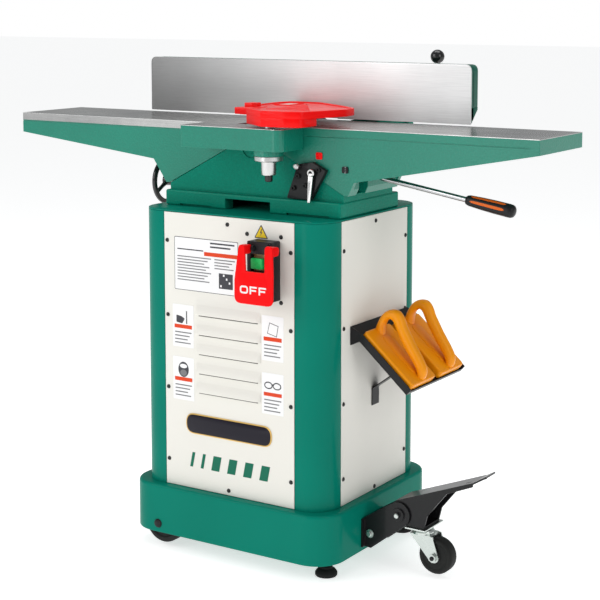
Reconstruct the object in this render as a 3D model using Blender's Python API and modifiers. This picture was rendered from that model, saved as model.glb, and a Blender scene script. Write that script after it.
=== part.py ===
# Six-inch jointer on a closed cabinet stand with a built-in pedal caster.
# Metres, +Z up. X runs along the tables (infeed at +X), Y across them (fence at +Y).
# The origin is on the floor, under the middle of the tables.
import math

import bpy
from mathutils import Matrix, Vector

# ---- driving dimensions ----------------------------------------------------
TABLE_TOP = 0.8315            # floor to table surface
TABLE_HALF = 0.584            # half of the overall table length
TABLE_Y = 0.092               # half of the table width
SKIRT = 0.011                 # wall thickness of the cast table skirts
WAY_ANGLE = math.radians(28)  # slope of the inclined ways
GAP = 0.0005                  # running gap between sliding castings
TOUCH = 0.0003                # gap between pieces that rest on each other

HEAD_R = 0.0305               # cutterhead body radius
KNIFE_R = 0.0315              # cutting circle radius
HEAD_Z = TABLE_TOP - KNIFE_R
HEAD_HALF = 0.077             # half of the cutterhead length

LEDGE_X0, LEDGE_X1 = -0.115, 0.112
LEDGE_Y0, LEDGE_Y1 = -0.170, -TABLE_Y - GAP
LEDGE_Z0 = 0.7905
POST = (0.067, -0.140)        # guard pivot in plan

GUARD_TOP = 0.8655
GUARD_PLATE = 0.0135          # thickness of the guard's plate
GUARD_SKIRT_Z = 0.8365        # lower edge of the guard's hub skirt

FENCE_X0, FENCE_X1 = -0.385, 0.3645
FENCE_Y = 0.0887              # working face
FENCE_T = 0.030
FENCE_Z0, FENCE_Z1 = 0.8345, 0.9460
HINGE_Y, HINGE_Z = 0.100, 0.8395   # fence tilt axis
KNUCKLE_R = 0.0072

CAB_X0, CAB_X1 = -0.2204, 0.2042
CAB_Y0, CAB_Y1 = -0.1667, 0.2010
CAB_Z0, CAB_Z1 = 0.1293, 0.6640
CORNER_R = 0.052              # rounded cabinet corners
PANEL_MARGIN = 0.0637         # cabinet corner to panel edge, front and back
SIDE_MARGIN = 0.0605          # the same on the sides
PANEL_T = 0.0015
SHEET = 0.0025                # cabinet sheet thickness

PLINTH_OUT = 0.019            # plinth stands this far outside the cabinet
PLINTH_Z0, PLINTH_Z1 = 0.034, 0.129
TOP_Z0, TOP_Z1 = CAB_Z1 + TOUCH, CAB_Z1 + TOUCH + 0.003
BASE_Z0 = TOP_Z1 + TOUCH
BASE_FLANGE_Z = 0.697
BASE_X = 0.1985
BASE_Y = 0.0905               # half width of the base's upper body

REAR_Y = 0.2240               # rearmost face, and minus the foremost
PULLEY_Y = (0.1185, 0.1365)
HEAD_PULLEY_R, MOTOR_PULLEY_R = 0.0260, 0.0450
MOTOR_Z = 0.330

WHEEL_POST = (-0.1640, 0.0515)     # transport wheel axle in x, z
TRANSPORT_R = 0.043
FOOT_SPOTS = ((0.184, -0.125), (0.184, 0.165), (-0.095, -0.080), (-0.095, 0.120))

PEDAL_PIVOT = (0.299, 0.1175)      # x, z
PEDAL_Y = (-0.053, 0.008)          # outer faces of the pedal's channel
PEDAL_SLOPE = math.radians(21)
CASTER_X, CASTER_Y = 0.3335, -0.0225
CASTER_PLATE_Z = 0.0975            # top of the caster's plate
CASTER_WHEEL = (0.3640, 0.0430)    # x, z of the caster's axle
CASTER_R, CASTER_W = 0.0340, 0.028

LEVER_PIVOT = (0.203, 0.7575)      # x, z
HANDWHEEL = (-0.2750, 0.0, 0.7000)
HANDWHEEL_R = 0.0490

TRAY_TOP = (0.2240, 0.4390)        # upper inner corner of the sloping tray, x, z
TRAY_END = (0.3235, 0.3515)        # lower outer corner
TRAY_Y = (-0.076, 0.141)

# ---- scene, collections and materials --------------------------------------
for old in list(bpy.data.objects):
    bpy.data.objects.remove(old, do_unlink=True)

MODEL = bpy.data.collections.new("jointer")
TOOLS = bpy.data.collections.new("cutters")
bpy.context.scene.collection.children.link(MODEL)
bpy.context.scene.collection.children.link(TOOLS)


def material(name, color, rough, metal=0.0):
    mat = bpy.data.materials.new(name)
    mat.use_nodes = True
    shader = mat.node_tree.nodes["Principled BSDF"]
    shader.inputs["Base Color"].default_value = (*color, 1.0)
    shader.inputs["Roughness"].default_value = rough
    shader.inputs["Metallic"].default_value = metal
    mat.diffuse_color = (*color, 1.0)
    return mat


CAST_GREEN = material("cast_green_paint", (0.004, 0.220, 0.150), 0.45)
SHEET_GREEN = material("sheet_green_paint", (0.003, 0.200, 0.140), 0.30)
CREAM = material("cream_paint", (0.68, 0.66, 0.58), 0.45)
GROUND = material("ground_iron", (0.50, 0.50, 0.50), 0.30, 1.0)
STEEL = material("bright_steel", (0.62, 0.62, 0.62), 0.25, 1.0)
ZINC = material("zinc_plate", (0.55, 0.60, 0.57), 0.35, 1.0)
BLACK = material("black_paint", (0.015, 0.015, 0.015), 0.40)
BLACK_PLASTIC = material("black_plastic", (0.02, 0.02, 0.02), 0.35)
RUBBER = material("rubber", (0.02, 0.02, 0.02), 0.80)
RED = material("red_plastic", (0.85, 0.01, 0.01), 0.35)
GREEN_BUTTON = material("green_button", (0.03, 0.62, 0.15), 0.35)
ORANGE = material("orange_plastic", (0.90, 0.30, 0.005), 0.40)
GREY = material("grey_paint", (0.16, 0.17, 0.17), 0.50)


# ---- modelling helpers -----------------------------------------------------
def adopt(obj, name, mat=None, tool=False):
    """Name an object, give it a material and move it to its collection."""
    obj.name = name
    obj.data.name = name
    for home in list(obj.users_collection):
        home.objects.unlink(obj)
    (TOOLS if tool else MODEL).objects.link(obj)
    obj.data.materials.clear()
    if mat:
        obj.data.materials.append(mat)
    if tool:
        obj.hide_render = True
        obj.display_type = "WIRE"
    else:
        obj.data.shade_smooth()
        obj.data.set_sharp_from_angle(angle=math.radians(32))
    return obj


def box(name, x, y, z, mat=None, bevel=0.0, tool=False):
    """Box between the pairs x, y and z, with an optional bevelled edge."""
    centre = [(a + b) / 2 for a, b in (x, y, z)]
    bpy.ops.mesh.primitive_cube_add(size=1, location=centre)
    obj = bpy.context.object
    obj.data.transform(Matrix.Diagonal([x[1] - x[0], y[1] - y[0], z[1] - z[0], 1]))
    if bevel:
        mod = obj.modifiers.new("edges", "BEVEL")
        mod.width = bevel
        mod.segments = 2
    return adopt(obj, name, mat, tool)


TURN = {"x": Matrix.Rotation(math.pi / 2, 4, "Y"), "y": Matrix.Rotation(-math.pi / 2, 4, "X"),
        "z": Matrix.Identity(4)}


def rod(name, centre, radius, span, axis, mat=None, sides=24, tool=False):
    """Cylinder along an axis; span is the pair of coordinates of its ends there."""
    at = list(centre)
    at["xyz".index(axis)] = (span[0] + span[1]) / 2
    bpy.ops.mesh.primitive_cylinder_add(vertices=sides, radius=radius, depth=span[1] - span[0],
                                        location=at)
    obj = bpy.context.object
    obj.data.transform(TURN[axis])
    return adopt(obj, name, mat, tool)


def slab(name, points, span, across, mat=None, tool=False):
    """Closed outline of (a, b) points, as thick as span along the axis named across."""
    curve = bpy.data.curves.new(name, "CURVE")
    curve.dimensions = "2D"
    curve.fill_mode = "BOTH"
    curve.extrude = (span[1] - span[0]) / 2
    line = curve.splines.new("POLY")
    line.points.add(len(points) - 1)
    for point, (a, b) in zip(line.points, points):
        point.co = (a, b, 0, 1)
    line.use_cyclic_u = True
    flat = bpy.data.objects.new(name, curve)
    TOOLS.objects.link(flat)
    middle = (span[0] + span[1]) / 2
    # (a, b) are (x, y), (x, z) or (y, z) when the outline is thick along z, y or x
    flat.matrix_world = {
        "z": Matrix(((1, 0, 0, 0), (0, 1, 0, 0), (0, 0, 1, middle), (0, 0, 0, 1))),
        "y": Matrix(((1, 0, 0, 0), (0, 0, -1, middle), (0, 1, 0, 0), (0, 0, 0, 1))),
        "x": Matrix(((0, 0, 1, middle), (1, 0, 0, 0), (0, 1, 0, 0), (0, 0, 0, 1)))}[across]
    bpy.context.view_layer.update()
    return meshed(flat, name, mat, tool)


def meshed(curved, name, mat=None, tool=False):
    """Turn a curve object into a closed mesh object in the same place."""
    import bmesh
    world = curved.matrix_world.copy()
    mesh = bpy.data.meshes.new_from_object(curved.evaluated_get(bpy.context.evaluated_depsgraph_get()))
    work = bmesh.new()
    work.from_mesh(mesh)
    bmesh.ops.remove_doubles(work, verts=work.verts, dist=0.00001)
    bmesh.ops.recalc_face_normals(work, faces=work.faces)
    work.to_mesh(mesh)
    work.free()
    bpy.data.objects.remove(curved, do_unlink=True)
    obj = bpy.data.objects.new(name, mesh)
    bpy.context.scene.collection.objects.link(obj)
    obj.matrix_world = world
    return adopt(obj, name, mat, tool)


def tube(name, points, radius, mat=None, tool=False):
    """Round bar along a polyline, with filled ends."""
    curve = bpy.data.curves.new(name, "CURVE")
    curve.dimensions = "3D"
    curve.bevel_depth = radius
    curve.bevel_resolution = 3
    curve.use_fill_caps = True
    curve.render_resolution_u = 0
    line = curve.splines.new("POLY")
    line.points.add(len(points) - 1)
    for point, place in zip(line.points, points):
        point.co = (*place, 1)
    bar = bpy.data.objects.new(name, curve)
    TOOLS.objects.link(bar)
    bpy.context.view_layer.update()
    return meshed(bar, name, mat, tool)


def turned(name, profile, centre, axis, mat=None, sides=32, tool=False):
    """Profile of (radius, height) points spun about an axis through centre."""
    area = sum(a[0] * b[1] - b[0] * a[1] for a, b in zip(profile, profile[1:] + profile[:1]))
    profile = profile if area < 0 else profile[::-1]
    edges = [(i, i + 1) for i in range(len(profile) - 1)]
    if profile[0] == profile[-1]:
        profile = profile[:-1]
        edges[-1] = (len(profile) - 1, 0)
    mesh = bpy.data.meshes.new(name)
    mesh.from_pydata([(r, 0, h) for r, h in profile], edges, [])
    obj = bpy.data.objects.new(name, mesh)
    bpy.context.scene.collection.objects.link(obj)
    obj.location = centre
    obj.rotation_euler = {"x": (0, math.pi / 2, 0), "y": (-math.pi / 2, 0, 0), "z": (0, 0, 0)}[axis]
    mod = obj.modifiers.new("spin", "SCREW")
    mod.axis = "Z"
    mod.steps = mod.render_steps = sides
    mod.use_merge_vertices = True
    mod.merge_threshold = 0.00001
    return adopt(obj, name, mat, tool)


def boolean(obj, operation, pieces):
    for piece in pieces:
        mod = obj.modifiers.new(piece.name, "BOOLEAN")
        mod.operation = operation
        mod.solver = "EXACT"
        mod.object = piece
    return obj


def cut(obj, *pieces):
    return boolean(obj, "DIFFERENCE", pieces)


def weld(obj, *pieces):
    return boolean(obj, "UNION", pieces)


def pivot(obj, point):
    """Move an object's origin onto its joint's axis, leaving its shape where it is."""
    bpy.context.view_layer.update()
    world = obj.matrix_world.copy()
    placed = Matrix.Translation(point) @ world.to_3x3().to_4x4()
    obj.data.transform(placed.inverted() @ world)
    obj.matrix_world = placed
    return obj


def hang(child, parent):
    """Make child ride on parent without moving it."""
    bpy.context.view_layer.update()
    child.parent = parent
    child.matrix_parent_inverse = parent.matrix_world.inverted()
    return child


def arc(cx, cy, radius, start, end, steps):
    """Points on a circle's arc, angles in degrees."""
    angles = [math.radians(start + (end - start) * i / steps) for i in range(steps + 1)]
    return [(cx + radius * math.cos(a), cy + radius * math.sin(a)) for a in angles]


def rounded(x, y, radius, steps=6):
    """Rectangle with round corners, anticlockwise."""
    (x0, x1), (y0, y1) = x, y
    return (arc(x1 - radius, y0 + radius, radius, -90, 0, steps)
            + arc(x1 - radius, y1 - radius, radius, 0, 90, steps)
            + arc(x0 + radius, y1 - radius, radius, 90, 180, steps)
            + arc(x0 + radius, y0 + radius, radius, 180, 270, steps))


def grown(pair, amount):
    return (pair[0] - amount, pair[1] + amount)


# ---- plinth: folded steel skirt with a deck that carries the cabinet ---------
def make_plinth():
    x = grown((CAB_X0, CAB_X1), PLINTH_OUT)
    y = grown((CAB_Y0, CAB_Y1), PLINTH_OUT)
    wall = 0.003
    body = slab("plinth", rounded(x, y, CORNER_R + 0.01, 7), (PLINTH_Z0, PLINTH_Z1), "z", SHEET_GREEN)
    inside = slab("plinth_inside", rounded(grown(x, -wall), grown(y, -wall), CORNER_R + 0.007, 7),
                  (PLINTH_Z0 - 0.01, PLINTH_Z1 - 0.004), "z", tool=True)
    arch = box("plinth_side_arch", (x[0] - 0.01, x[1] + 0.01), (-0.100, 0.150),
               (PLINTH_Z0 - 0.01, PLINTH_Z0 + 0.006), tool=True)
    cut(body, inside, arch)
    for label, side in (("front", -1), ("rear", 1)):
        edge = y[0] if side < 0 else y[1]
        hole = rod("plinth_axle_hole_" + label, (WHEEL_POST[0], 0, WHEEL_POST[1]), 0.0053,
                   (edge - 0.01, edge + 0.01), "y", sides=16, tool=True)
        cut(body, hole)
    for i, (fx, fy) in enumerate(FOOT_SPOTS):
        pad = box("foot_pad_%d" % i, (fx - 0.018, fx + 0.018), (fy - 0.018, fy + 0.018),
                  (PLINTH_Z0 + 0.012, PLINTH_Z1 - 0.002), tool=True)
        stem = rod("foot_bore_%d" % i, (fx, fy, 0), 0.0055, (PLINTH_Z0, PLINTH_Z0 + 0.055), "z",
                   sides=16, tool=True)
        weld(body, pad)
        cut(body, stem)
    return body


def make_feet():
    for i, (fx, fy) in enumerate(FOOT_SPOTS):
        profile = [(0, 0.064), (0.005, 0.064), (0.005, 0.017), (0.0125, 0.015), (0.020, 0.009),
                   (0.021, 0.001), (0.019, 0.0), (0, 0.0)]
        foot = turned("levelling_foot_%d" % (i + 1), profile, (fx, fy, 0), "z", RUBBER, 20)
        pivot(foot, (fx, fy, 0))


def make_transport_wheels():
    y_edges = (CAB_Y0 - PLINTH_OUT, CAB_Y1 + PLINTH_OUT)
    for label, edge, inward in (("front", y_edges[0], 1), ("rear", y_edges[1], -1)):
        wx, wz = WHEEL_POST
        near, far = edge + inward * 0.0135, edge + inward * 0.0415
        span = (min(near, far), max(near, far))
        wheel = rod("transport_wheel_" + label, (wx, 0, wz), TRANSPORT_R, span, "y", RUBBER, 28)
        bore = rod("transport_bore_" + label, (wx, 0, wz), 0.0053, grown(span, 0.01), "y",
                   sides=16, tool=True)
        cut(wheel, bore)
        pivot(wheel, (wx, (near + far) / 2, wz))
        tip = edge + inward * 0.0470
        bolt = rod("transport_axle_" + label, (wx, 0, wz), 0.0050,
                   (min(edge - inward * 0.001, tip), max(edge - inward * 0.001, tip)), "y", BLACK, 16)
        head = (edge - inward * TOUCH, edge - inward * 0.0040)
        weld(bolt, rod("axle_head_" + label, (wx, 0, wz), 0.0085, (min(head), max(head)), "y",
                       sides=16, tool=True))


# ---- cabinet ----------------------------------------------------------------
def make_cabinet():
    outer = rounded((CAB_X0, CAB_X1), (CAB_Y0, CAB_Y1), CORNER_R, 7)
    shell = slab("cabinet_shell", outer, (CAB_Z0, CAB_Z1), "z", SHEET_GREEN)
    inner = rounded(grown((CAB_X0, CAB_X1), -SHEET), grown((CAB_Y0, CAB_Y1), -SHEET),
                    CORNER_R - SHEET, 7)
    cut(shell, slab("cabinet_inside", inner, grown((CAB_Z0, CAB_Z1), 0.01), "z", tool=True))
    x_face = (CAB_X0 + PANEL_MARGIN, CAB_X1 - PANEL_MARGIN)
    y_face = (CAB_Y0 + SIDE_MARGIN, CAB_Y1 - SIDE_MARGIN)
    z_panel = (CAB_Z0 + TOUCH, CAB_Z1 - TOUCH)
    lip, step = 0.016, PANEL_T + TOUCH
    window = (CAB_Z0 + lip, CAB_Z1 - lip)
    faces = {"front": ("y", CAB_Y0, 1), "back": ("y", CAB_Y1, -1),
             "left": ("x", CAB_X0, 1), "right": ("x", CAB_X1, -1)}
    for side, (axis, plane, inward) in faces.items():
        along = x_face if axis == "y" else y_face
        depth = (plane - inward * 0.01, plane + inward * step)
        through = (plane - inward * 0.01, plane + inward * 0.01)
        skin = (plane, plane + inward * PANEL_T)
        spans = [(min(p), max(p)) for p in (depth, through, skin)]
        names = ("recess_", "window_", "")
        sizes = ((along, grown((CAB_Z0, CAB_Z1), 0.01)), (grown(along, -lip), window),
                 (grown(along, -TOUCH), z_panel))
        for span, prefix, (wide, tall) in zip(spans, names, sizes):
            ends = (wide, span, tall) if axis == "y" else (span, wide, tall)
            if prefix:
                cut(shell, box(prefix + side, *ends, tool=True))
            else:
                panel = box(side + "_panel", *ends, CREAM)
                if side == "left":
                    cut(panel, rod("port_hole", (0, PORT_Y, PORT_Z), PORT_R - 0.002,
                                   (plane - 0.01, plane + 0.01), "x", sides=24, tool=True))
    return shell


PORT_Y, PORT_Z, PORT_R = 0.020, 0.440, 0.050


def make_dust_port():
    """Round hose spigot with a square flange on the left panel."""
    profile = [(PORT_R - 0.002, 0.0), (PORT_R - 0.002, 0.050), (PORT_R, 0.050), (PORT_R, 0.003),
               (0.062, 0.003), (0.062, 0.0), (PORT_R - 0.002, 0.0)]
    flipped = [(r, -h) for r, h in profile][::-1]
    port = turned("dust_port", flipped, (CAB_X0 - TOUCH, PORT_Y, PORT_Z), "x", BLACK_PLASTIC, 32)
    return port


def make_dust_chute():
    """Sheet metal chute from under the cutterhead to the hose port."""
    mouth, wall = 0.052, 0.0015
    outer = [(mouth, TOP_Z0 - 0.001), (mouth, 0.600), (CAB_X0 + 0.008, PORT_Z - 0.060),
             (CAB_X0 + 0.008, PORT_Z + 0.060), (-mouth - 0.03, 0.600), (-mouth, TOP_Z0 - 0.001)]
    inner = [(mouth - wall, TOP_Z0 + 0.01), (mouth - wall, 0.601), (CAB_X0 - 0.01, PORT_Z - 0.062),
             (CAB_X0 - 0.01, PORT_Z + 0.068), (-mouth - 0.03 + wall, 0.6005), (-mouth + wall, TOP_Z0 + 0.01)]
    body = slab("dust_chute", outer, (-0.060, 0.085), "y", ZINC)
    return cut(body, slab("chute_inside", inner, (-0.060 + wall, 0.085 - wall), "y", tool=True))


def make_top_plate():
    outer = rounded((CAB_X0, CAB_X1), (CAB_Y0, CAB_Y1), CORNER_R, 7)
    plate = slab("top_plate", outer, (TOP_Z0, TOP_Z1), "z", SHEET_GREEN)
    chip = box("chip_opening", (-0.050, 0.050), (-0.058, 0.083), grown((TOP_Z0, TOP_Z1), 0.01), tool=True)
    belt = box("belt_opening", (-0.042, 0.042), (0.1155, 0.1425), grown((TOP_Z0, TOP_Z1), 0.01), tool=True)
    return cut(plate, chip, belt)


# ---- base casting -----------------------------------------------------------
WAY_TAN = math.tan(WAY_ANGLE)
WAY_X, WAY_Z = 0.1990, 0.7090      # lower end of each inclined way


def way_z(x):
    """Height of the ways above a given distance from the cutterhead."""
    return WAY_Z + (WAY_X - abs(x)) * WAY_TAN


def make_base():
    crown = 0.060
    top = way_z(crown)
    upper = [(-BASE_X, BASE_Z0), (BASE_X, BASE_Z0), (BASE_X, WAY_Z), (crown, top), (-crown, top),
             (-BASE_X, WAY_Z)]
    base = slab("base_casting", upper, (-BASE_Y, BASE_Y), "y", CAST_GREEN)
    flange = box("base_flange", (-BASE_X - 0.0015, BASE_X + 0.0015), (-0.105, 0.1125),
                 (BASE_Z0, BASE_FLANGE_Z), bevel=0.003, tool=True)
    pad = box("bracket_pad", (0.088, 0.130), (-LEDGE_GAP_Y, -BASE_Y + 0.002), (0.698, 0.735), tool=True)
    weld(base, flange, pad)
    hollow = slab("base_hollow", [(-0.180, BASE_Z0 - 0.01), (0.180, BASE_Z0 - 0.01), (0.180, 0.690),
                                  (0.050, 0.752), (-0.050, 0.752), (-0.180, 0.690)],
                  (-0.078, 0.078), "y", tool=True)
    throat = box("chip_throat", (-0.046, 0.046), (-0.074, 0.074), (0.74, 0.80), tool=True)
    saddle = rod("head_clearance", (0, 0, HEAD_Z), KNIFE_R + 0.006, (-0.0785, 0.0785), "y", tool=True)
    shaft = rod("handwheel_bore", HANDWHEEL, 0.0059, (-BASE_X - 0.01, -0.1700), "x", sides=16, tool=True)
    recess = rod("bearing_recess", (-0.0060, 0, 0.7890), 0.0215, (-BASE_Y - 0.01, -BASE_Y + 0.0020), "y",
                 tool=True)
    window = box("front_window", (-0.0572, 0.046), (-0.12, -0.07), (BASE_Z0 - 0.01, 0.6885), tool=True)
    slot_l = box("front_slot_left", (-0.166, -0.090), (-0.12, -0.098), (BASE_Z0 - 0.01, 0.6715), tool=True)
    slot_r = box("front_slot_right", (0.082, 0.176), (-0.12, -0.098), (BASE_Z0 - 0.01, 0.6715), tool=True)
    return cut(base, hollow, throat, saddle, shaft, recess, window, slot_l, slot_r)


LEDGE_GAP_Y = TABLE_Y + TOUCH      # front plane of the pad behind the lock bracket


# ---- tables -----------------------------------------------------------------
def table(name, side, outline, mat):
    """Cast table: outline of (distance, z) points, hollow between its front and rear skirts."""
    body = slab(name, [(side * a, b) for a, b in outline], (-TABLE_Y, TABLE_Y), "y", mat)
    return body


def make_outfeed():
    inner = 0.0370
    outline = [(TABLE_HALF, 0.7911), (TABLE_HALF, TABLE_TOP), (inner, TABLE_TOP), (inner + 0.001, 0.823),
               (0.050, 0.806), (0.0560, way_z(0.0560) + GAP * 1.2), (WAY_X, WAY_Z + GAP * 1.2),
               (0.2080, 0.7090), (0.2395, 0.7537)]
    body = table("outfeed_table", -1, outline, GROUND)
    for i, (near, far) in enumerate(((0.066, 0.196), (0.214, 0.395), (0.409, 0.572))):
        low = 0.68
        pocket = box("outfeed_pocket_%d" % i, (-far, -near), grown((-TABLE_Y, TABLE_Y), -SKIRT),
                     (low, TABLE_TOP - 0.014), tool=True)
        cut(body, pocket)
    groove = box("outfeed_groove", (-TABLE_HALF - 0.01, -0.12), (-0.1, -TABLE_Y + 0.0008),
                 (TABLE_TOP - 0.0175, TABLE_TOP - 0.016), tool=True)
    cut(body, groove)
    return pivot(body, (-0.15, 0, way_z(0.15)))


def make_infeed():
    inner = 0.0375
    outline = [(TABLE_HALF, 0.8041), (TABLE_HALF, TABLE_TOP), (inner, TABLE_TOP), (inner + 0.001, 0.823),
               (0.050, 0.806), (0.0560, way_z(0.0560) + GAP * 1.2), (WAY_X, WAY_Z + GAP * 1.2),
               (0.2080, 0.7090), (0.2205, 0.7348)]
    body = table("infeed_table", 1, outline, GROUND)
    for i, (near, far) in enumerate(((0.066, 0.188), (0.214, 0.395), (0.409, 0.572))):
        pocket = box("infeed_pocket_%d" % i, (near, far), grown((-TABLE_Y, TABLE_Y), -SKIRT),
                     (0.68, TABLE_TOP - 0.014), tool=True)
        cut(body, pocket)
    # the lever swings through a notch in the middle rib
    gate = box("lever_gate", (0.180, 0.420), (-0.062, -0.030), (0.68, 0.8), tool=True)
    shaft = rod("lever_shaft_bore", (LEVER_PIVOT[0], 0, LEVER_PIVOT[1]), 0.0063, (-0.11, 0.02), "y",
                sides=16, tool=True)
    rim = box("infeed_groove", (0.117, 0.566), (-0.1, -TABLE_Y + 0.0008),
              (TABLE_TOP - 0.0165, TABLE_TOP - 0.0150), tool=True)
    cut(body, gate, shaft, rim)
    return pivot(body, (0.15, 0, way_z(0.15)))


def make_ledge():
    """Rabbeting ledge bolted to the infeed table, with a boss for the guard's post."""
    r = 0.018
    outline = ([(LEDGE_X0, LEDGE_Y1), (LEDGE_X0, LEDGE_Y0 + 0.005)]
               + arc(LEDGE_X0 + 0.005, LEDGE_Y0 + 0.005, 0.005, 180, 270, 3)
               + arc(LEDGE_X1 - r, LEDGE_Y0 + r, r, -90, 0, 6) + [(LEDGE_X1, LEDGE_Y1)])
    ledge = slab("rabbet_ledge", outline, (LEDGE_Z0, TABLE_TOP), "z", GROUND)
    boss = rod("post_boss", (*POST, 0), 0.0275, (0.7805, LEDGE_Z0 + 0.01), "z", tool=True)
    bore = rod("post_bore", (*POST, 0), 0.0083, (0.77, 0.84), "z", tool=True)
    return cut(weld(ledge, boss), bore)


def make_pointer():
    pointer = box("depth_pointer", (0.1400, 0.1540), (-TABLE_Y - 0.0033, -TABLE_Y - TOUCH), (0.7735, 0.7870),
                  RED, bevel=0.0012)
    return pointer


# ---- cutter guard -----------------------------------------------------------
def make_guard_post():
    """Spring housing, flange, sleeve and pivot pin that carry the guard."""
    profile = [(0, 0.8490), (0.0070, 0.8490), (0.0080, 0.8480), (0.0080, 0.7802), (0.0265, 0.7802),
               (0.0270, 0.7710), (0.0250, 0.7700), (0.0140, 0.7695), (0.0140, 0.7460), (0.0125, 0.7445),
               (0.0073, 0.7445), (0.0073, 0.7320), (0, 0.7320)]
    post = turned("guard_post", profile, (*POST, 0), "z", STEEL, 28)
    return pivot(post, (*POST, 0.78))


GUARD_OUTLINE = ([(-0.020, -0.058), (-0.034, -0.020), (-0.036, 0.040)]
                 + arc(-0.018, 0.061, 0.018, 170, 90, 4)
                 + arc(0.040, 0.061, 0.018, 90, 50, 3)
                 + [(0.130, 0.022)] + arc(0.160, -0.045, 0.030, 45, -25, 6)
                 + [(0.165, -0.125)] + arc(0.130, -0.145, 0.024, -20, -80, 4)
                 + [(0.075, -0.178), (0.010, -0.130)])


def make_guard():
    """Swinging cutter guard: a flat plate with a deep hub skirt over its pivot."""
    plate = slab("cutter_guard", GUARD_OUTLINE, (GUARD_TOP - GUARD_PLATE, GUARD_TOP), "z", RED)
    hub = slab("guard_hub", [(0.014, -0.092), (0.010, -0.130), (0.075, -0.178)]
               + arc(0.130, -0.145, 0.024, -80, -20, 4) + [(0.150, -0.098)],
               (GUARD_SKIRT_Z, GUARD_TOP - 0.004), "z", tool=True)
    lug = box("guard_lug", (-0.030, 0.006), (-0.112, -0.060), (GUARD_TOP - 0.0140, GUARD_TOP - 0.0010), tool=True)
    hook = box("guard_hook", (-0.026, -0.010), (-0.090, -0.060), (GUARD_TOP - 0.008, GUARD_TOP + 0.006), tool=True)
    neck = slab("guard_neck", [(-0.020, -0.112), (0.012, -0.140), (0.012, -0.060), (-0.020, -0.060)],
                (GUARD_TOP - 0.0135, GUARD_TOP - 0.0005), "z", tool=True)
    bore = rod("guard_bore", (*POST, 0), 0.0083, (0.80, 0.8495), "z", tool=True)
    dish = slab("guard_dish", [(0.000, -0.070), (-0.014, -0.020), (-0.014, 0.045), (0.034, 0.058),
                               (0.118, 0.010), (0.160, -0.050), (0.130, -0.125), (0.075, -0.155)][::-1],
                (GUARD_TOP - 0.002, GUARD_TOP + 0.01), "z", tool=True)
    weld(plate, hub, lug, hook, neck)
    cut(plate, bore, dish)
    return pivot(plate, (*POST, GUARD_TOP))


# ---- cutterhead, drive and bearings -----------------------------------------
def make_cutterhead():
    """Three-knife head with shaft ends; the knives sit in open slots."""
    profile = [(0, 0.1400), (0.0070, 0.1400), (0.0070, 0.0940), (0.0110, 0.0940), (0.0110, HEAD_HALF),
               (HEAD_R, HEAD_HALF), (HEAD_R, -HEAD_HALF), (0.0110, -HEAD_HALF), (0.0110, -0.0890),
               (0, -0.0890)]
    head = turned("cutterhead", profile, (0, 0, HEAD_Z), "y", STEEL, 24)
    pivot_point = (0, 0, HEAD_Z)
    for i in range(3):
        angle = math.radians(60 + 120 * i)
        turn = Matrix.Translation(pivot_point) @ Matrix.Rotation(angle, 4, "Y")
        slot = box("knife_slot_%d" % i, (-0.0036, 0.0036), (-HEAD_HALF - 0.01, HEAD_HALF + 0.01),
                   (0.0165, 0.05), tool=True)
        knife = box("knife_%d" % (i + 1), (-0.0018, 0.0018), (-HEAD_HALF, HEAD_HALF), (0.0170, KNIFE_R), STEEL)
        for piece in (slot, knife):
            piece.data.transform(Matrix.Translation(piece.location))
            piece.location = (0, 0, 0)
            piece.data.transform(turn)
        pivot(knife, pivot_point)
        cut(head, slot)
    return head


def make_bearing_blocks():
    for label, near, far in (("front", -0.0905, -0.0790), ("rear", 0.0790, 0.0925)):
        foot = way_z(0.060) + TOUCH
        arch = [(-0.036, foot), (0.036, foot)] + arc(0, HEAD_Z, 0.0262, 10, 170, 10)
        block = slab(label + "_bearing_block", arch, (near, far), "y", GREY)
        bore = rod(label + "_bearing_bore", (0, 0, HEAD_Z), 0.0115, (near - 0.01, far + 0.01), "y", tool=True)
        cut(block, bore)


def pulley(name, y, radius, centre, bore, mat):
    """Single V-belt pulley with hub, turned about the Y axis."""
    y0, y1 = y
    middle = (y0 + y1) / 2
    profile = [(bore, y1), (radius, y1), (radius, middle + 0.0055), (radius - 0.007, middle + 0.003),
               (radius - 0.007, middle - 0.003), (radius, middle - 0.0055), (radius, y0), (bore, y0),
               (bore, y1)]
    return turned(name, profile, (centre[0], 0, centre[1]), "y", mat, 24)


def make_drive():
    head = pulley("cutterhead_pulley", PULLEY_Y, HEAD_PULLEY_R, (0, HEAD_Z), 0.0073, GREY)
    pivot(head, (0, 0, HEAD_Z))
    low = pulley("motor_pulley", PULLEY_Y, MOTOR_PULLEY_R, (0, MOTOR_Z), 0.0082, GREY)
    pivot(low, (0, 0, MOTOR_Z))
    middle = sum(PULLEY_Y) / 2
    half = 0.0026
    top_r, low_r = HEAD_PULLEY_R - 0.0066, MOTOR_PULLEY_R - 0.0066
    lean = math.degrees(math.asin((low_r - top_r) / (HEAD_Z - MOTOR_Z)))

    def loop(extra):
        return (arc(0, HEAD_Z, top_r + extra, -lean, 180 + lean, 12)
                + arc(0, MOTOR_Z, low_r + extra, 180 + lean, 360 - lean, 14))
    belt = slab("drive_belt", loop(0.0055), (middle - half, middle + half), "y", RUBBER)
    cut(belt, slab("belt_inside", loop(0.0), (middle - 0.02, middle + 0.02), "y", tool=True))
    return belt


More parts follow.
